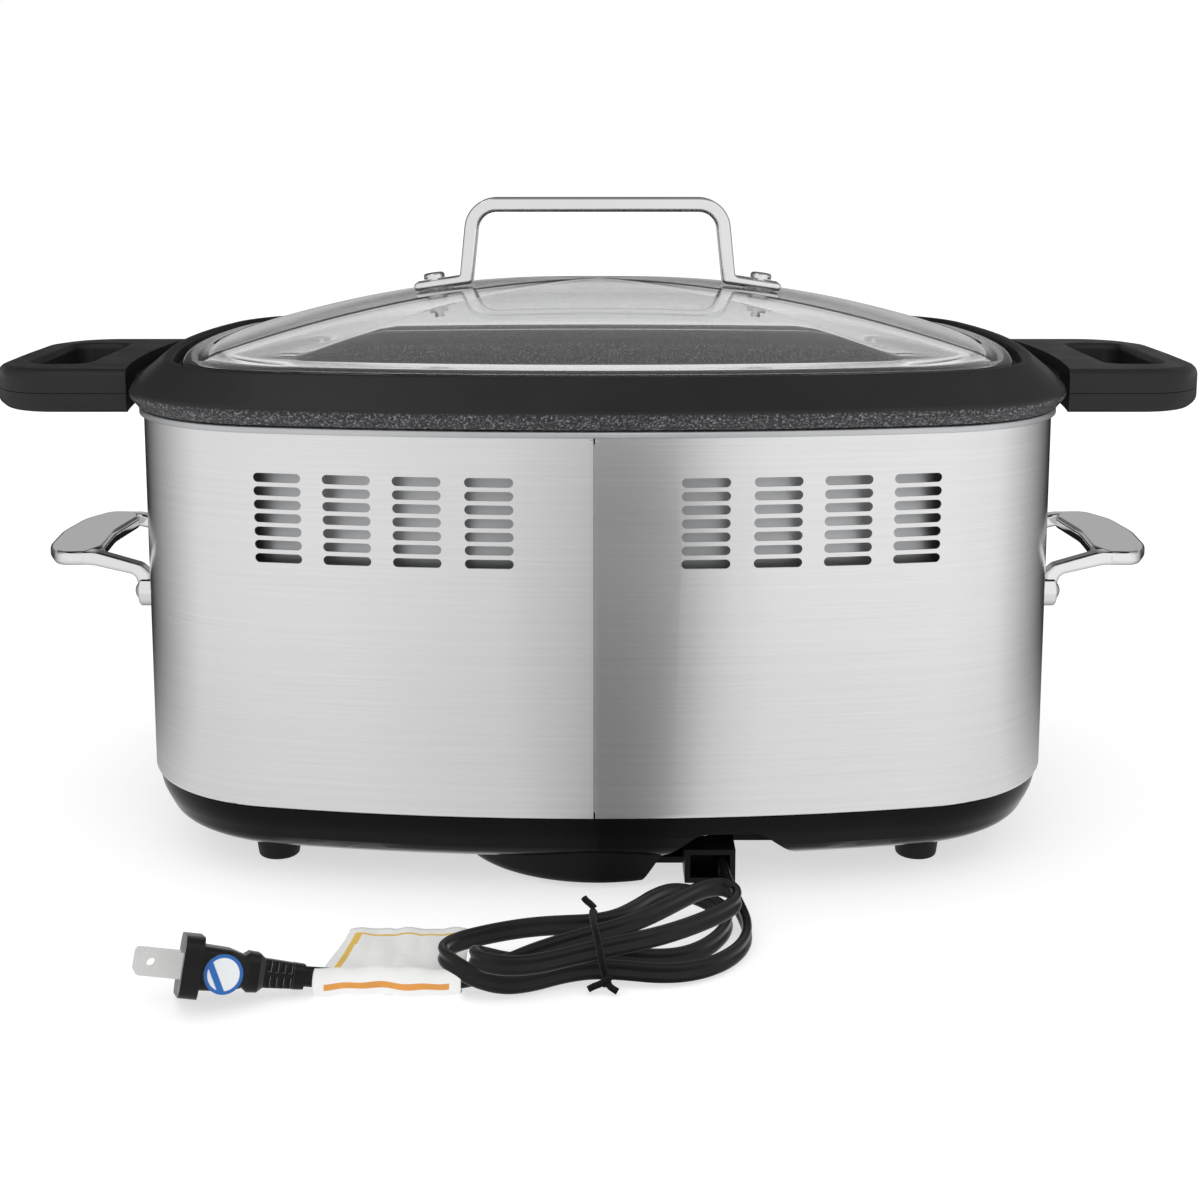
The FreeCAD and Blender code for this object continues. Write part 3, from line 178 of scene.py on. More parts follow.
def brushed_steel():
    """Stainless sheet brushed level, with fine streaks and a few faint scuffs."""
    material, tree, shader = new_material("brushed_steel")
    streaks = object_noise(tree, 10.0, 8.0, 0.75, (1.6, 1.6, 620.0))
    long_streaks = object_noise(tree, 6.0, 4.0, 0.6, (0.5, 0.5, 160.0))
    cloud = object_noise(tree, 14.0, 3.0, 0.5)
    tone = ramp(tree, streaks, ((0.28, (0.74, 0.74, 0.745)), (0.72, (0.84, 0.84, 0.845))))
    wide = ramp(tree, long_streaks, ((0.3, (0.965, 0.965, 0.965)), (0.7, (1.0, 1.0, 1.0))))
    both = tree.nodes.new("ShaderNodeMix")
    both.data_type = "RGBA"
    both.blend_type = "MULTIPLY"
    both.inputs["Factor"].default_value = 1.0
    tree.links.new(tone, both.inputs["A"])
    tree.links.new(wide, both.inputs["B"])
    tree.links.new(both.outputs["Result"], shader.inputs["Base Color"])
    tree.links.new(ranged(tree, cloud, 0.19, 0.23), shader.inputs["Roughness"])
    tangent = tree.nodes.new("ShaderNodeTangent")
    tangent.direction_type = "RADIAL"
    tangent.axis = "Z"
    tree.links.new(tangent.outputs["Tangent"], shader.inputs["Tangent"])
    seam = bump(tree, seam_ridge(tree), 1.0, 1.0)
    dents = bump(tree, cloud, 0.10, 0.0006, seam)
    tree.links.new(bump(tree, streaks, 0.08, 0.00010, dents), shader.inputs["Normal"])
    shader.inputs["Metallic"].default_value = 1.0
    shader.inputs["Anisotropic"].default_value = 0.75
    shader.inputs["Anisotropic Rotation"].default_value = 0.25
    return material


# The flecked coating gives way to the plain one over these heights, just under the pot's rim.
FLECKS_END_Z = (0.1762, 0.1774)


def pot_coating():
    """Dark non-stick coating: plain satin over the rim, flecked with grey below it and inside."""
    material, tree, shader = new_material("pot_coating")
    where = tree.nodes.new("ShaderNodeTexCoord")
    parts = tree.nodes.new("ShaderNodeSeparateXYZ")
    tree.links.new(where.outputs["Object"], parts.inputs["Vector"])
    flecked = ranged(tree, parts.outputs["Z"], 1.0, 0.0, *FLECKS_END_Z)
    flecks = tree.nodes.new("ShaderNodeTexVoronoi")
    flecks.inputs["Scale"].default_value = 1500.0
    tree.links.new(where.outputs["Object"], flecks.inputs["Vector"])
    patches = object_noise(tree, 1100.0, 4.0, 0.75)
    speckle = ramp(tree, patches, ((0.42, (0.014, 0.014, 0.016)), (0.53, (0.040, 0.041, 0.044)),
                                   (0.64, (0.26, 0.26, 0.27))))
    plain = ramp(tree, object_noise(tree, 25.0),
                 ((0.3, (0.008, 0.008, 0.009)), (0.7, (0.013, 0.013, 0.014))))
    mixed = tree.nodes.new("ShaderNodeMix")
    mixed.data_type = "RGBA"
    tree.links.new(flecked, mixed.inputs["Factor"])
    tree.links.new(plain, mixed.inputs["A"])
    tree.links.new(speckle, mixed.inputs["B"])
    tree.links.new(mixed.outputs["Result"], shader.inputs["Base Color"])
    tree.links.new(ranged(tree, patches, 0.36, 0.46), shader.inputs["Roughness"])
    tree.links.new(bump(tree, flecks.outputs["Distance"], 0.12, 0.0002), shader.inputs["Normal"])
    shader.inputs["Specular IOR Level"].default_value = 0.32
    return material


def clear_glass():
    """Tempered glass with a faint grey-green cast and a film of wiping marks."""
    material, tree, shader = new_material("glass")
    film = object_noise(tree, 22.0, 5.0, 0.6)
    tree.links.new(ramp(tree, film, ((0.3, (0.965, 0.97, 0.97)), (0.7, (0.985, 0.99, 0.99)))),
                   shader.inputs["Base Color"])
    tree.links.new(ranged(tree, film, 0.0, 0.008), shader.inputs["Roughness"])
    shader.inputs["Transmission Weight"].default_value = 1.0
    shader.inputs["IOR"].default_value = 1.47
    return material


def polished(name, colour, roughness=0.05):
    """Bright metal with hairline scratches and faint smears."""
    material, tree, shader = new_material(name)
    smear = object_noise(tree, 60.0, 6.0, 0.65)
    tree.links.new(ramp(tree, smear, ((0.3, scaled(colour, 0.96)), (0.7, colour))),
                   shader.inputs["Base Color"])
    tree.links.new(ranged(tree, smear, roughness, roughness + 0.05), shader.inputs["Roughness"])
    scratches = object_noise(tree, 220.0, 2.0, 0.5, (1.0, 1.0, 8.0))
    tree.links.new(bump(tree, scratches, 0.04, 0.00005), shader.inputs["Normal"])
    shader.inputs["Metallic"].default_value = 1.0
    return material


# The plug's own axes, with +X towards the lead, and its flange's middle.
PLUG_FLANGE = Vector((-0.129, -0.2145, 0.0126))
PLUG_TURN = (Matrix.Rotation(math.radians(13.0), 3, "Z") @ Matrix.Rotation(math.radians(12.0), 3, "Y")
             @ Matrix.Rotation(math.radians(-20.0), 3, "X"))
LABEL_MIDDLE = PLUG_FLANGE + PLUG_TURN @ Vector((0.010, -0.0092, -0.0011))


def round_label():
    """A white round label with a blue edge and one blue band, and no words."""
    material, tree, shader = new_material("sticker")
    where = tree.nodes.new("ShaderNodeTexCoord")
    offset = tree.nodes.new("ShaderNodeVectorMath")
    offset.operation = "SUBTRACT"
    offset.inputs[1].default_value = LABEL_MIDDLE
    tree.links.new(where.outputs["Object"], offset.inputs[0])
    reach = tree.nodes.new("ShaderNodeVectorMath")
    reach.operation = "LENGTH"
    tree.links.new(offset.outputs["Vector"], reach.inputs[0])
    across = tree.nodes.new("ShaderNodeVectorMath")
    across.operation = "DOT_PRODUCT"
    across.inputs[1].default_value = PLUG_TURN @ Vector((0.87, 0.0, 0.49))
    tree.links.new(offset.outputs["Vector"], across.inputs[0])
    blue = (0.012, 0.13, 0.46)
    white = (0.80, 0.82, 0.84)
    face = ramp(tree, ranged(tree, across.outputs["Value"], 0.0, 1.0, -0.006, 0.006),
                ((0.0, white), (0.19, white), (0.21, blue), (0.36, blue), (0.38, white), (1.0, white)))
    edge = ranged(tree, reach.outputs["Value"], 0.0, 1.0, 0.0049, 0.0051)
    rim = tree.nodes.new("ShaderNodeMix")
    rim.data_type = "RGBA"
    tree.links.new(edge, rim.inputs["Factor"])
    tree.links.new(face, rim.inputs["A"])
    tree.links.new(ramp(tree, object_noise(tree, 90.0), ((0.3, scaled(blue, 0.92)), (0.7, blue))),
                   rim.inputs["B"])
    tree.links.new(rim.outputs["Result"], shader.inputs["Base Color"])
    tree.links.new(ranged(tree, object_noise(tree, 200.0), 0.26, 0.34), shader.inputs["Roughness"])
    return material


MATERIALS = {
    "brushed_steel": brushed_steel(),
    "liner_steel": surface("liner_steel", (0.55, 0.56, 0.57), 0.38, 1.0, 0.08, 18.0, 500.0, 0.08, 0.0001),
    "black_gloss_plastic": surface("black_gloss_plastic", (0.003, 0.003, 0.0035), 0.14, 0.0, 0.15, 20.0,
                                   700.0, 0.04, 0.00008, 0.04, 0.10, 0.0),
    "black_plastic": surface("black_plastic", (0.004, 0.004, 0.0045), 0.42, 0.0, 0.2, 40.0, 1800.0, 0.25,
                             0.00012, 0.05, 0.15),
    "grip_plastic": surface("grip_plastic", (0.011, 0.011, 0.012), 0.38, 0.0, 0.15, 30.0, 2600.0, 0.30,
                            0.00010, 0.06, 0.30),
    "white_plastic": surface("white_plastic", (0.78, 0.77, 0.73), 0.45),
    "clear_plastic": surface("clear_plastic", (0.86, 0.87, 0.88), 0.12, 0.0, 0.04, 60.0, 900.0, 0.05),
    "sheet_steel": surface("sheet_steel", (0.60, 0.60, 0.61), 0.32, 1.0, 0.10, 35.0, 900.0, 0.10, 0.0001,
                           0.06, 0.5, 0.0, (1, 1, 4)),
    "chrome": polished("chrome", (0.83, 0.83, 0.84), 0.04),
    "polished_steel": polished("polished_steel", (0.80, 0.80, 0.80), 0.07),
    "rubber": surface("rubber", (0.006, 0.006, 0.006), 0.6, 0.0, 0.2, 60.0, 2200.0, 0.3, 0.00015, 0.05, 0.2),
    "cord_rubber": surface("cord_rubber", (0.006, 0.006, 0.0065), 0.34, 0.0, 0.25, 70.0, 2400.0, 0.12,
                           0.00008, 0.06, 0.25),
    "pot_coating": pot_coating(),
    "cast_aluminium": surface("cast_aluminium", (0.5, 0.5, 0.51), 0.5, 1.0, 0.12, 60.0, 900.0, 0.5, 0.0003),
    "glass": clear_glass(),
    "display_glass": surface("display_glass", (0.012, 0.014, 0.016), 0.06, 0.0, 0.1, 25.0, 500.0, 0.02,
                             0.00005, 0.02, 0.5, 0.6),
    "lcd": surface("lcd", (0.22, 0.27, 0.23), 0.3),
    "circuit_board": surface("circuit_board", (0.02, 0.14, 0.06), 0.35, 0.0, 0.2, 120.0, 900.0, 0.2),
    "ceramic": surface("ceramic", (0.82, 0.80, 0.74), 0.3),
    "paper": surface("paper", (0.86, 0.86, 0.85), 0.75, 0.0, 0.03, 60.0, 1400.0, 0.35, 0.00015, 0.05, 0.3),
    "sticker": round_label(),
    "brass": surface("nickel_plate", (0.86, 0.86, 0.85), 0.26, 1.0, 0.05, 70.0, 900.0, 0.08, 0.0001),
}
for entry in frame["record"]["subparts"]:
    piece = nodes[entry["node"]]
    piece.data.materials.clear()
    piece.data.materials.append(MATERIALS[entry["material_slot"]])


# ---------------------------------------------------------------- mesh helpers

def mesh_piece(name, verts, faces, materials, body, smooth=True):
    """A mesh object from points and faces, riding on a body."""
    mesh = bpy.data.meshes.new(name)
    mesh.from_pydata([tuple(v) for v in verts], [], faces)
    for material in materials:
        mesh.materials.append(material)
    for polygon in mesh.polygons:
        polygon.use_smooth = smooth
    made = bpy.data.objects.new(name, mesh)
    scene.collection.objects.link(made)
    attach(made, body)
    return made


def nurbs_line(points_mm, resolution=10):
    """The points along one smooth spline with these control points, in metres."""
    curve = bpy.data.curves.new("line", "CURVE")
    curve.dimensions = "3D"
    curve.resolution_u = resolution
    spline = curve.splines.new("NURBS")
    spline.points.add(len(points_mm) - 1)
    for point, place in zip(spline.points, points_mm):
        point.co = (place[0] * MM, place[1] * MM, place[2] * MM, 1.0)
    spline.order_u = 3
    spline.use_endpoint_u = True
    holder = bpy.data.objects.new("line", curve)
    drawn = bpy.data.meshes.new_from_object(holder)
    line = [v.co.copy() for v in drawn.vertices]
    bpy.data.objects.remove(holder)
    bpy.data.meshes.remove(drawn)
    bpy.data.curves.remove(curve)
    return line


def swept(line, outline, wide_up, sizes=None):
    """Verts and faces of an outline of (across, through) points carried along a line.

    sizes gives the outline's size at each point of the line, where it isn't one all the way."""
    verts = []
    faces = []
    count = len(outline)
    for index, here in enumerate(line):
        before = line[max(index - 1, 0)]
        after = line[min(index + 1, len(line) - 1)]
        tangent = (after - before).normalized()
        wide = (wide_up - tangent * wide_up.dot(tangent)).normalized()
        thin = tangent.cross(wide)
        size = sizes[index] if sizes else 1.0
        for across, through in outline:
            verts.append(here + wide * across * size + thin * through * size)
        if index:
            low = (index - 1) * count
            high = index * count
            for side in range(count):
                following = (side + 1) % count
                faces.append((low + side, low + following, high + following, high + side))
    faces.append(tuple(reversed(range(count))))
    faces.append(tuple(range(len(verts) - count, len(verts))))
    return verts, faces


# ---------------------------------------------------------------- lead

CORD_WIDTH = 0.0064
CORD_THICK = 0.0034
LOBE_PLACES = (-1.0, -0.95, -0.82, -0.65, -0.48, -0.30, -0.14, -0.05, 0.05, 0.14, 0.30, 0.48, 0.65, 0.82,
               0.95, 1.0)


def twin_outline():
    """A flat twin-core lead: two round lobes with a groove between them."""
    half = CORD_WIDTH / 2
    lobe = CORD_THICK / 2
    middle = half - lobe
    upper = []
    for place in LOBE_PLACES[1:-1]:
        across = place * half
        off_middle = abs(across) - middle
        groove = lobe * (0.62 + 0.38 * min(1.0, abs(across) / middle))
        round_edge = math.sqrt(max(lobe ** 2 - max(off_middle, 0.0) ** 2, 0.0))
        upper.append((across, min(round_edge, groove)))
    lower = [(across, -height) for across, height in reversed(upper)]
    return [(-half, 0.0)] + upper + [(half, 0.0)] + lower


LEAD_ROUTE = (
    (45.4, -110.0, 8.7), (45.4, -121.0, 8.6), (46.0, -132.0, 7.6), (47.6, -143.0, 6.0),
    (50.0, -154.0, 4.6), (51.4, -165.0, 3.9), (50.4, -176.0, 3.7), (46.2, -186.5, 3.7),
)
HANK_ROUTE = (
    # along the front of the hank to the left, and round its left end
    (38.5, -195.5, 3.7), (29.0, -200.8, 3.8), (19.0, -202.6, 4.3), (9.0, -202.0, 5.1), (-1.0, -201.5, 5.4),
    (-11.0, -203.5, 4.9), (-21.0, -208.0, 4.0), (-30.0, -211.2, 4.4), (-39.0, -211.4, 7.0),
    (-47.0, -207.5, 10.0), (-51.0, -200.0, 10.2), (-48.0, -191.5, 9.4), (-40.0, -186.5, 9.6),
    # over the top to the right, in the wide upper arc, and round the right end
    (-30.0, -184.0, 10.6), (-21.0, -184.2, 12.0), (-12.0, -186.0, 13.4), (-2.0, -187.0, 14.2),
    (6.0, -183.5, 14.2), (13.0, -174.0, 13.6), (19.0, -162.5, 12.6), (25.6, -153.5, 11.2),
    (33.0, -149.0, 8.6), (40.0, -150.0, 5.8), (45.4, -156.5, 4.6), (44.6, -167.0, 4.2),
    (40.0, -177.5, 4.0), (34.0, -185.5, 4.0), (26.5, -191.0, 4.2),
    # low through the middle to the left, and round inside the left end
    (17.0, -194.0, 5.2), (7.0, -194.4, 6.4), (-3.0, -194.5, 6.6),
    (-13.0, -196.0, 5.6), (-22.0, -196.6, 4.8),
    (-30.0, -196.2, 5.2), (-36.5, -197.2, 7.4), (-40.0, -201.5, 10.2), (-39.6, -207.5, 11.8),
    (-34.5, -211.6, 11.8), (-27.0, -211.8, 11.0),
    # over the front run to the right, and round the upper right end
    (-18.0, -208.6, 10.6), (-8.0, -203.8, 11.0), (1.0, -200.2, 11.6),
    (10.0, -196.4, 11.8), (20.0, -190.0, 11.2),
    (29.5, -182.0, 10.6), (37.5, -174.5, 10.4), (43.6, -168.0, 10.4),
    (48.0, -162.0, 10.8), (48.4, -155.0, 11.4),
    (44.0, -151.0, 12.2), (37.6, -154.5, 13.0),
    # over everything to the left, and down to the floor
    (30.5, -163.0, 13.4), (23.5, -171.5, 13.4), (16.0, -179.5, 13.2),
    (8.0, -187.0, 13.2), (-1.0, -192.8, 13.2),
    (-10.0, -197.5, 12.6), (-20.0, -201.4, 11.0), (-29.0, -204.0, 8.2),
)
END_ROUTE = (
    (-38.0, -205.8, 5.2), (-49.0, -207.0, 3.8), (-61.0, -208.2, 3.7),
    (-73.0, -207.4, 3.7), (-83.5, -205.4, 3.9),
    (-93.5, -206.3, 4.9), (-103.3, -208.6, 7.0),
)
# The flat lead's broad side stands nearly upright, leaning back.
CORD_UP = Vector((0.0, 0.42, 0.907))
cord_line = nurbs_line(LEAD_ROUTE + HANK_ROUTE + END_ROUTE)
cord_verts, cord_faces = swept(cord_line, twin_outline(), CORD_UP)
power_cord = mesh_piece("power_cord", cord_verts, cord_faces, [MATERIALS["cord_rubber"]], "heating_base")
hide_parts("cord_lead", "cord_hank", "cord_end")


# ---------------------------------------------------------------- strain relief at the outlet

RELIEF_ROUTE = ((45.4, -106.6, 8.7), (45.4, -113.0, 8.7), (45.5, -120.5, 8.6), (45.8, -127.6, 8.0))


def make_lead_relief():
    """The tapered, ribbed sleeve that the lead comes out of."""
    line = nurbs_line(RELIEF_ROUTE, 14)
    last = len(line) - 1
    sizes = []
    for index in range(len(line)):
        taper = 1.0 - 0.26 * index / last
        sizes.append(taper * (0.90 if index % 5 == 4 else 1.0))
    outline = [(math.copysign(abs(math.cos(turn)) ** 0.7, math.cos(turn)) * 0.0038,
                math.copysign(abs(math.sin(turn)) ** 0.7, math.sin(turn)) * 0.0027)
               for turn in (math.tau * step / 28 for step in range(28))]
    verts, faces = swept(line, outline, Vector((0.0, 0.0, 1.0)), sizes)
    return mesh_piece("lead_relief", verts, faces, [MATERIALS["black_plastic"]], "heating_base")


lead_relief = make_lead_relief()


# ---------------------------------------------------------------- tie

def round_outline(radius, count, squash):
    """An ellipse as points of (across, through)."""
    return [(math.cos(math.tau * i / count) * radius, math.sin(math.tau * i / count) * radius * squash)
            for i in range(count)]


TIE_LOOP = (
    (2.6, -206.0, 4.4), (1.8, -207.0, 8.0), (0.8, -205.4, 13.0), (-0.4, -201.0, 17.0), (-1.4, -194.0, 18.4),
    (-1.8, -187.0, 18.9), (-1.2, -182.2, 16.6), (0.0, -182.2, 12.0), (1.6, -186.0, 7.0), (2.6, -190.0, 2.6),
    (3.0, -196.0, 1.2), (3.0, -202.0, 1.1), (2.8, -205.6, 2.4), (2.6, -206.2, 4.8),
)
TIE_TAILS = (
    ((2.6, -206.6, 3.8), (1.0, -207.6, 3.0), (-1.2, -208.2, 2.6), (-3.0, -208.4, 1.6)),
    ((2.6, -206.6, 3.8), (3.6, -208.0, 2.6), (5.0, -209.0, 2.0), (6.4, -209.4, 1.3)),
    ((-1.0, -184.0, 18.3), (-2.2, -183.4, 19.6), (-3.8, -183.2, 20.6), (-4.6, -183.2, 21.8)),
)
KNOT = ((4.2, -206.6, 5.4), (3.0, -207.6, 4.2), (1.6, -207.4, 3.2), (2.6, -206.6, 2.4), (3.8, -207.2, 3.4))
tie_verts = []
tie_faces = []
for route, radius, squash in ((TIE_LOOP, 0.00115, 0.75), *((tail, 0.0011, 0.9) for tail in TIE_TAILS),
                              (KNOT, 0.0012, 0.9)):
    part_verts, part_faces = swept(nurbs_line(route, 8), round_outline(radius, 12, squash),
                                   Vector((1, 0.1, 0.1)))
    tie_faces += [tuple(i + len(tie_verts) for i in face) for face in part_faces]
    tie_verts += part_verts
tie = mesh_piece("tie", tie_verts, tie_faces, [MATERIALS["black_plastic"]], "heating_base")
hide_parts("twist_tie")


# ---------------------------------------------------------------- tag

TAG_SECTION = (
    (-163.0, 1.6), (-168.0, 0.8), (-176.0, 0.5), (-186.0, 0.5), (-194.0, 0.7), (-199.5, 1.8), (-202.2, 4.6),
    (-204.4, 7.4), (-207.6, 8.5), (-210.8, 7.6), (-212.6, 5.2),
    (-213.0, 2.6), (-211.6, 0.9), (-207.0, 0.45),
)
TAG_LEFT = (-85.0, -90.8)
TAG_RIGHT = (-44.0, -43.5)
TAG_COLUMNS = 64
PAPER = 0.00018
# The share of the tag's length that lies flat before it turns up over the lead.
FLAP_SHARE = 0.55
TABLE_CLEARANCE = 0.0003


def make_tag():
    """A paper tag wrapped round the lead, with its flap lying on the table."""
    section = nurbs_line([(0.0, y, z) for y, z in TAG_SECTION], 8)
    lengths = [0.0]
    for a, b in zip(section, section[1:]):
        lengths.append(lengths[-1] + (b - a).length)
    verts = []
    faces = []
    shades = []
    rows = len(section)
    for row, point in enumerate(section):
        down = lengths[row] / lengths[-1]
        flap = min(1.0, down / FLAP_SHARE)
        left = (TAG_LEFT[0] + (TAG_LEFT[1] - TAG_LEFT[0]) * flap) * MM
        right = (TAG_RIGHT[0] + (TAG_RIGHT[1] - TAG_RIGHT[0]) * flap) * MM
        for column in range(TAG_COLUMNS + 1):
            along = column / TAG_COLUMNS
            x = left + (right - left) * along
            ripple = (0.00035 * math.sin(along * 9.0 + down * 5.0)
                      + 0.0002 * math.sin(along * 23.0 - down * 11.0))
            rise = ripple if down > 0.5 else abs(ripple) * 1.5
            sway = ripple * 0.6 if down > FLAP_SHARE else 0.0
            verts.append(Vector((x, point.y + sway, max(point.z + rise, TABLE_CLEARANCE))))
            if row and column:
                index = row * (TAG_COLUMNS + 1) + column
                above = index - TAG_COLUMNS - 1
                faces.append((above - 1, above, index, index - 1))
                run = lengths[row] / MM
                from_left = (x - left) / MM
                from_right = (right - x) / MM
                top_line = 3.6 < run < 4.6 and from_left > 3 and from_right > 3
                left_line = 3.6 < run < 33 and 3.0 < from_left < 5.4
                right_line = 3.6 < run < 26 and 3.0 < from_right < 5.4
                low_line = 52.8 < run < 54.8 and 4.0 < from_left and 3.5 < from_right
                shades.append(1 if top_line or left_line or right_line else 2 if low_line else 0)
    materials = [MATERIALS["paper"],
                 surface("tag_yellow", (0.80, 0.52, 0.10), 0.6, 0.0, 0.06, 90.0, 1400.0, 0.3, 0.00012),
                 surface("tag_orange", (0.72, 0.30, 0.05), 0.6, 0.0, 0.10, 90.0, 1400.0, 0.3, 0.00012)]
    made = mesh_piece("tag", verts, faces, materials, "heating_base")
    for polygon, shade in zip(made.data.polygons, shades):
        polygon.material_index = shade
    thick = made.modifiers.new("thick", "SOLIDIFY")
    thick.thickness = PAPER
    thick.offset = 0.0
    print("tag length", round(lengths[-1], 4), rows)
    return made


tag = make_tag()
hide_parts("cord_tag")

plug = [nodes[name] for name in ("plug_body", "plug_relief", "plug_blades", "plug_sticker")]

# Kept out of reflections, so that they don't show in the casing.
for piece in (power_cord, lead_relief, tie, tag, *plug):
    piece.visible_glossy = False


# ---------------------------------------------------------------- lid

HALF_WIDTH = 0.180
HALF_DEPTH = 0.134
LONG_SIDE_R = 0.620
SHORT_SIDE_R = 0.340
CORNER_R = 0.064
DOME_INSET = -0.0195
RIM_EDGE = -0.0145
RIM_TOP = 0.188
RISE = 0.026
GLASS = 0.004
DOME_RINGS = 44
EDGE_STEPS = 10
BLEND = 0.05


def plan_outline(offset):
    """Points round the casing's plan, offset outwards: four bowed sides and four corners."""
    long_y = HALF_DEPTH - LONG_SIDE_R
    short_x = HALF_WIDTH - SHORT_SIDE_R
    far = LONG_SIDE_R - CORNER_R
    near = SHORT_SIDE_R - CORNER_R
    apart = math.hypot(short_x, long_y)
    along = (far ** 2 - near ** 2 + apart ** 2) / (2 * apart)
    across = math.sqrt(far ** 2 - along ** 2)
    unit_x = short_x / apart
    unit_y = -long_y / apart
    corner_x = unit_x * along + unit_y * across
    corner_y = long_y + unit_y * along - unit_x * across
    long_turn = math.atan2(corner_x, corner_y - long_y)
    short_turn = math.atan2(corner_y, corner_x - short_x)
    corner_sweep = math.pi / 2 - long_turn - short_turn
    arcs = (
        ((short_x, 0), SHORT_SIDE_R, -short_turn, 2 * short_turn, 28),
        ((corner_x, corner_y), CORNER_R, short_turn, corner_sweep, 20),
        ((0, long_y), LONG_SIDE_R, math.pi / 2 - long_turn, 2 * long_turn, 40),
        ((-corner_x, corner_y), CORNER_R, math.pi / 2 + long_turn, corner_sweep, 20),
        ((-short_x, 0), SHORT_SIDE_R, math.pi - short_turn, 2 * short_turn, 28),
        ((-corner_x, -corner_y), CORNER_R, math.pi + short_turn, corner_sweep, 20),
        ((0, -long_y), LONG_SIDE_R, 1.5 * math.pi - long_turn, 2 * long_turn, 40),
        ((corner_x, -corner_y), CORNER_R, 1.5 * math.pi + long_turn, corner_sweep, 20),
    )
    points = []
    for (centre_x, centre_y), radius, start, sweep, steps in arcs:
        for step in range(steps):
            turn = start + sweep * step / steps
            points.append((centre_x + math.cos(turn) * (radius + offset),
                           centre_y + math.sin(turn) * (radius + offset)))
    return points


def dome_height(share):
    """The glass's rise at a share of the way out from the middle, eased into its flat rim."""
    ease = min(1.0, (1.0 - share) / BLEND)
    return RISE * (1.0 - share ** 2) * ease * ease * (3.0 - 2.0 * ease)


def make_lid():
    """The domed glass as one smooth closed piece with a rounded rim."""
    dome = plan_outline(DOME_INSET)
    shares = [1.0 - (1.0 - step / DOME_RINGS) ** 1.25 for step in range(1, DOME_RINGS + 1)]
    rings = []
    for share in shares:
        rings.append([(x * share, y * share, RIM_TOP + dome_height(share)) for x, y in dome])
    half = GLASS / 2
    for step in range(EDGE_STEPS + 1):
        turn = math.pi / 2 - math.pi * step / EDGE_STEPS
        outline = plan_outline(RIM_EDGE - half + half * math.cos(turn))
        rings.append([(x, y, RIM_TOP - half + half * math.sin(turn)) for x, y in outline])
    for share in reversed(shares):
        rings.append([(x * share, y * share, RIM_TOP - GLASS + dome_height(share)) for x, y in dome])
    count = len(dome)
    verts = [point for ring in rings for point in ring]
    faces = []
    for row in range(1, len(rings)):
        low = (row - 1) * count
        high = row * count
        for index in range(count):
            following = (index + 1) % count
            faces.append((low + index, high + index, high + following, low + following))
    verts += [(0.0, 0.0, RIM_TOP + RISE), (0.0, 0.0, RIM_TOP - GLASS + RISE)]
    last = (len(rings) - 1) * count
    for index in range(count):
        following = (index + 1) % count
        faces.append((len(verts) - 2, index, following))
        faces.append((len(verts) - 1, last + following, last + index))
    made = mesh_piece("lid_dome", verts, faces, [MATERIALS["glass"]], "lid")
    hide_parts("lid_glass")


make_lid()


# ---------------------------------------------------------------- floor, world and lights

FLOOR_REACH = 6.0


def make_floor():
    """A white table, lit up a little so that it meets the white background."""
    mesh = bpy.data.meshes.new("floor")
    reach = FLOOR_REACH
    mesh.from_pydata([(-reach, -reach, 0), (reach, -reach, 0), (reach, reach, 0), (-reach, reach, 0)], [],
                     [(0, 1, 2, 3)])
    material, tree, shader = new_material("floor")
    white = ramp(tree, object_noise(tree, 3.0), ((0.3, (0.49, 0.49, 0.49)), (0.7, (0.51, 0.51, 0.51))))
    tree.links.new(white, shader.inputs["Base Color"])
    shader.inputs["Roughness"].default_value = 0.9
    shader.inputs["Specular IOR Level"].default_value = 0.0
    shader.inputs["Emission Color"].default_value = (1.0, 1.0, 1.0, 1.0)
    shader.inputs["Emission Strength"].default_value = 0.62
    mesh.materials.append(material)
    floor = bpy.data.objects.new("floor", mesh)
    scene.collection.objects.link(floor)


make_floor()

# Brightness of the studio's walls: degrees from +Y towards +X, then low down, half way up and high up.
STUDIO = (
    (-180, 0.42, 0.90, 0.90), (-176, 0.60, 0.90, 0.90), (-169, 0.80, 0.90, 0.90), (-150, 0.92, 0.90, 0.90),
    (-112, 0.86, 0.86, 0.86), (-88, 0.46, 0.52, 0.40), (-72, 0.22, 0.45, 0.16), (-58, 0.05, 0.45, 0.10),
    (-48, 0.012, 0.45, 0.09), (0, 0.012, 0.45, 0.11), (48, 0.012, 0.45, 0.20), (58, 0.05, 0.45, 0.22),
    (72, 0.22, 0.48, 0.28), (88, 0.48, 0.60, 0.50), (112, 0.92, 0.90, 0.90), (140, 1.00, 1.00, 1.00),
    (160, 0.95, 0.95, 0.95), (166, 0.80, 0.95, 0.95), (171, 0.34, 0.95, 0.95), (175, 0.25, 0.95, 0.95),
    (180, 0.24, 0.92, 0.92),
)
STUDIO_STEPS = ((0.135, 0.165), (0.205, 0.235))
CARD_SHARE = 0.88
CARD_Z = 0.0004
WALL_RADIUS = 0.46
WALL_FOOT = -0.002
WALL_TOP = 0.95
RING_POINTS = 128
CEILING = 0.30


def seen_in_gloss_only(made):
    """The studio's walls show in what is polished, and nowhere else."""
    made.visible_camera = False
    made.visible_diffuse = False
    made.visible_transmission = False
    made.visible_volume_scatter = False
    made.visible_shadow = False


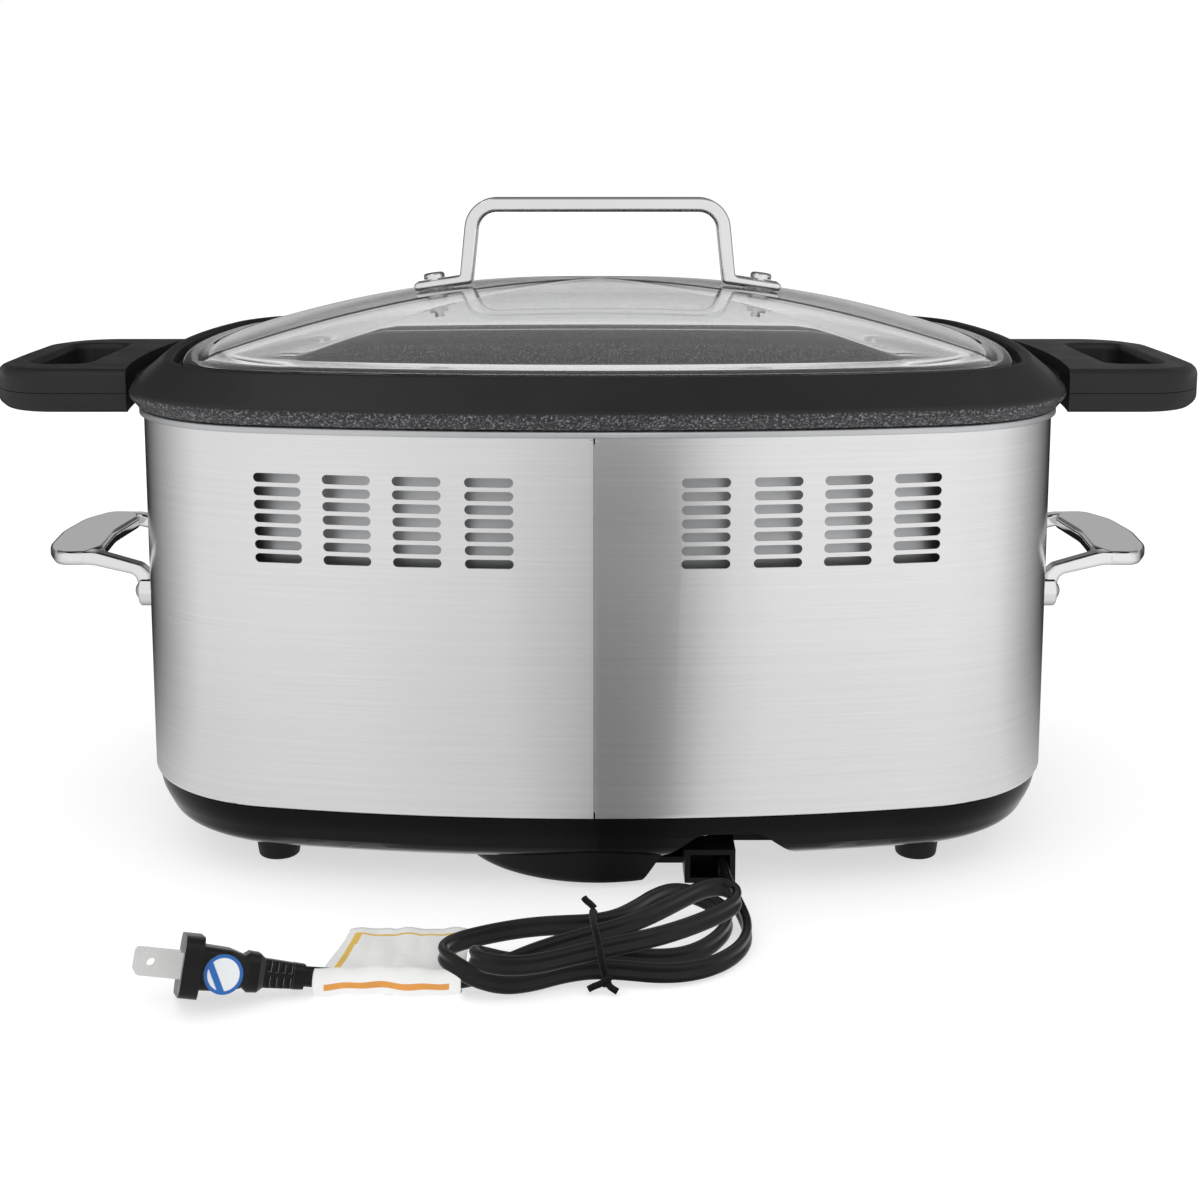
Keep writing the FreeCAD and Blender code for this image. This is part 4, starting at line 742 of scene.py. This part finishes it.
def glowing(name, sockets):
    """A material that only gives light; sockets builds its colour in the tree."""
    material = bpy.data.materials.new(name)
    material.use_nodes = True
    tree = material.node_tree
    tree.nodes.clear()
    output = tree.nodes.new("ShaderNodeOutputMaterial")
    glow = tree.nodes.new("ShaderNodeEmission")
    tree.links.new(sockets(tree), glow.inputs["Color"])
    tree.links.new(glow.outputs["Emission"], output.inputs["Surface"])
    return material


def wall_colour(tree, share=1.0):
    """The studio's brightness by azimuth and height."""
    where = tree.nodes.new("ShaderNodeTexCoord")
    parts = tree.nodes.new("ShaderNodeSeparateXYZ")
    turn = tree.nodes.new("ShaderNodeMath")
    turn.operation = "ARCTAN2"
    tree.links.new(where.outputs["Object"], parts.inputs["Vector"])
    tree.links.new(parts.outputs["X"], turn.inputs[0])
    tree.links.new(parts.outputs["Y"], turn.inputs[1])
    place = ranged(tree, turn.outputs["Value"], 0.0, 1.0, -math.pi, math.pi)
    bands = [ramp(tree, place, [((stop[0] + 180) / 360, (stop[column] * share,) * 3) for stop in STUDIO])
             for column in (1, 2, 3)]
    colour = bands[0]
    for band, step in zip(bands[1:], STUDIO_STEPS):
        mixed = tree.nodes.new("ShaderNodeMix")
        mixed.data_type = "RGBA"
        tree.links.new(ranged(tree, parts.outputs["Z"], 0.0, 1.0, *step), mixed.inputs["Factor"])
        tree.links.new(colour, mixed.inputs["A"])
        tree.links.new(band, mixed.inputs["B"])
        colour = mixed.outputs["Result"]
    return colour


def studio_ring(z):
    """Points round the studio at a height."""
    turns = [math.tau * index / RING_POINTS for index in range(RING_POINTS)]
    return [(WALL_RADIUS * math.cos(turn), WALL_RADIUS * math.sin(turn), z) for turn in turns]


def stage_disc(name, z, material):
    """A level disc as wide as the studio."""
    mesh = bpy.data.meshes.new(name)
    mesh.from_pydata(studio_ring(z), [], [tuple(range(RING_POINTS))])
    mesh.materials.append(material)
    disc = bpy.data.objects.new(name, mesh)
    scene.collection.objects.link(disc)
    seen_in_gloss_only(disc)


def make_walls():
    """A round wall, the card that it stands on and a dim ceiling."""
    verts = studio_ring(WALL_FOOT) + studio_ring(WALL_TOP)
    faces = []
    for index in range(RING_POINTS):
        following = (index + 1) % RING_POINTS
        faces.append((index, following, RING_POINTS + following, RING_POINTS + index))
    mesh = bpy.data.meshes.new("walls")
    mesh.from_pydata(verts, [], faces)
    mesh.materials.append(glowing("walls", wall_colour))
    walls = bpy.data.objects.new("walls", mesh)
    scene.collection.objects.link(walls)
    seen_in_gloss_only(walls)
    stage_disc("card", CARD_Z, glowing("card", lambda tree: wall_colour(tree, CARD_SHARE)))
    stage_disc("ceiling", WALL_TOP, glowing("ceiling", lambda tree: ramp(
        tree, object_noise(tree, 1.0), ((0.3, (CEILING,) * 3), (0.7, (CEILING * 1.1,) * 3)))))


make_walls()

world = bpy.data.worlds.new("studio")
world.use_nodes = True
world.node_tree.nodes["Background"].inputs["Color"].default_value = (1.0, 1.0, 1.0, 1.0)
world.node_tree.nodes["Background"].inputs["Strength"].default_value = 1.0
scene.world = world


def area_light(name, place, target, size, energy):
    """A rectangular lamp turned towards a target."""
    light = bpy.data.lights.new(name, "AREA")
    light.shape = "RECTANGLE"
    light.size, light.size_y = size
    light.energy = energy
    lamp = bpy.data.objects.new(name, light)
    lamp.location = place
    lamp.rotation_euler = (Vector(target) - Vector(place)).to_track_quat("-Z", "Y").to_euler()
    scene.collection.objects.link(lamp)


area_light("key_light", (-0.28, -0.10, 0.90), (0.0, 0.0, 0.15), (0.16, 0.5), 0.35)
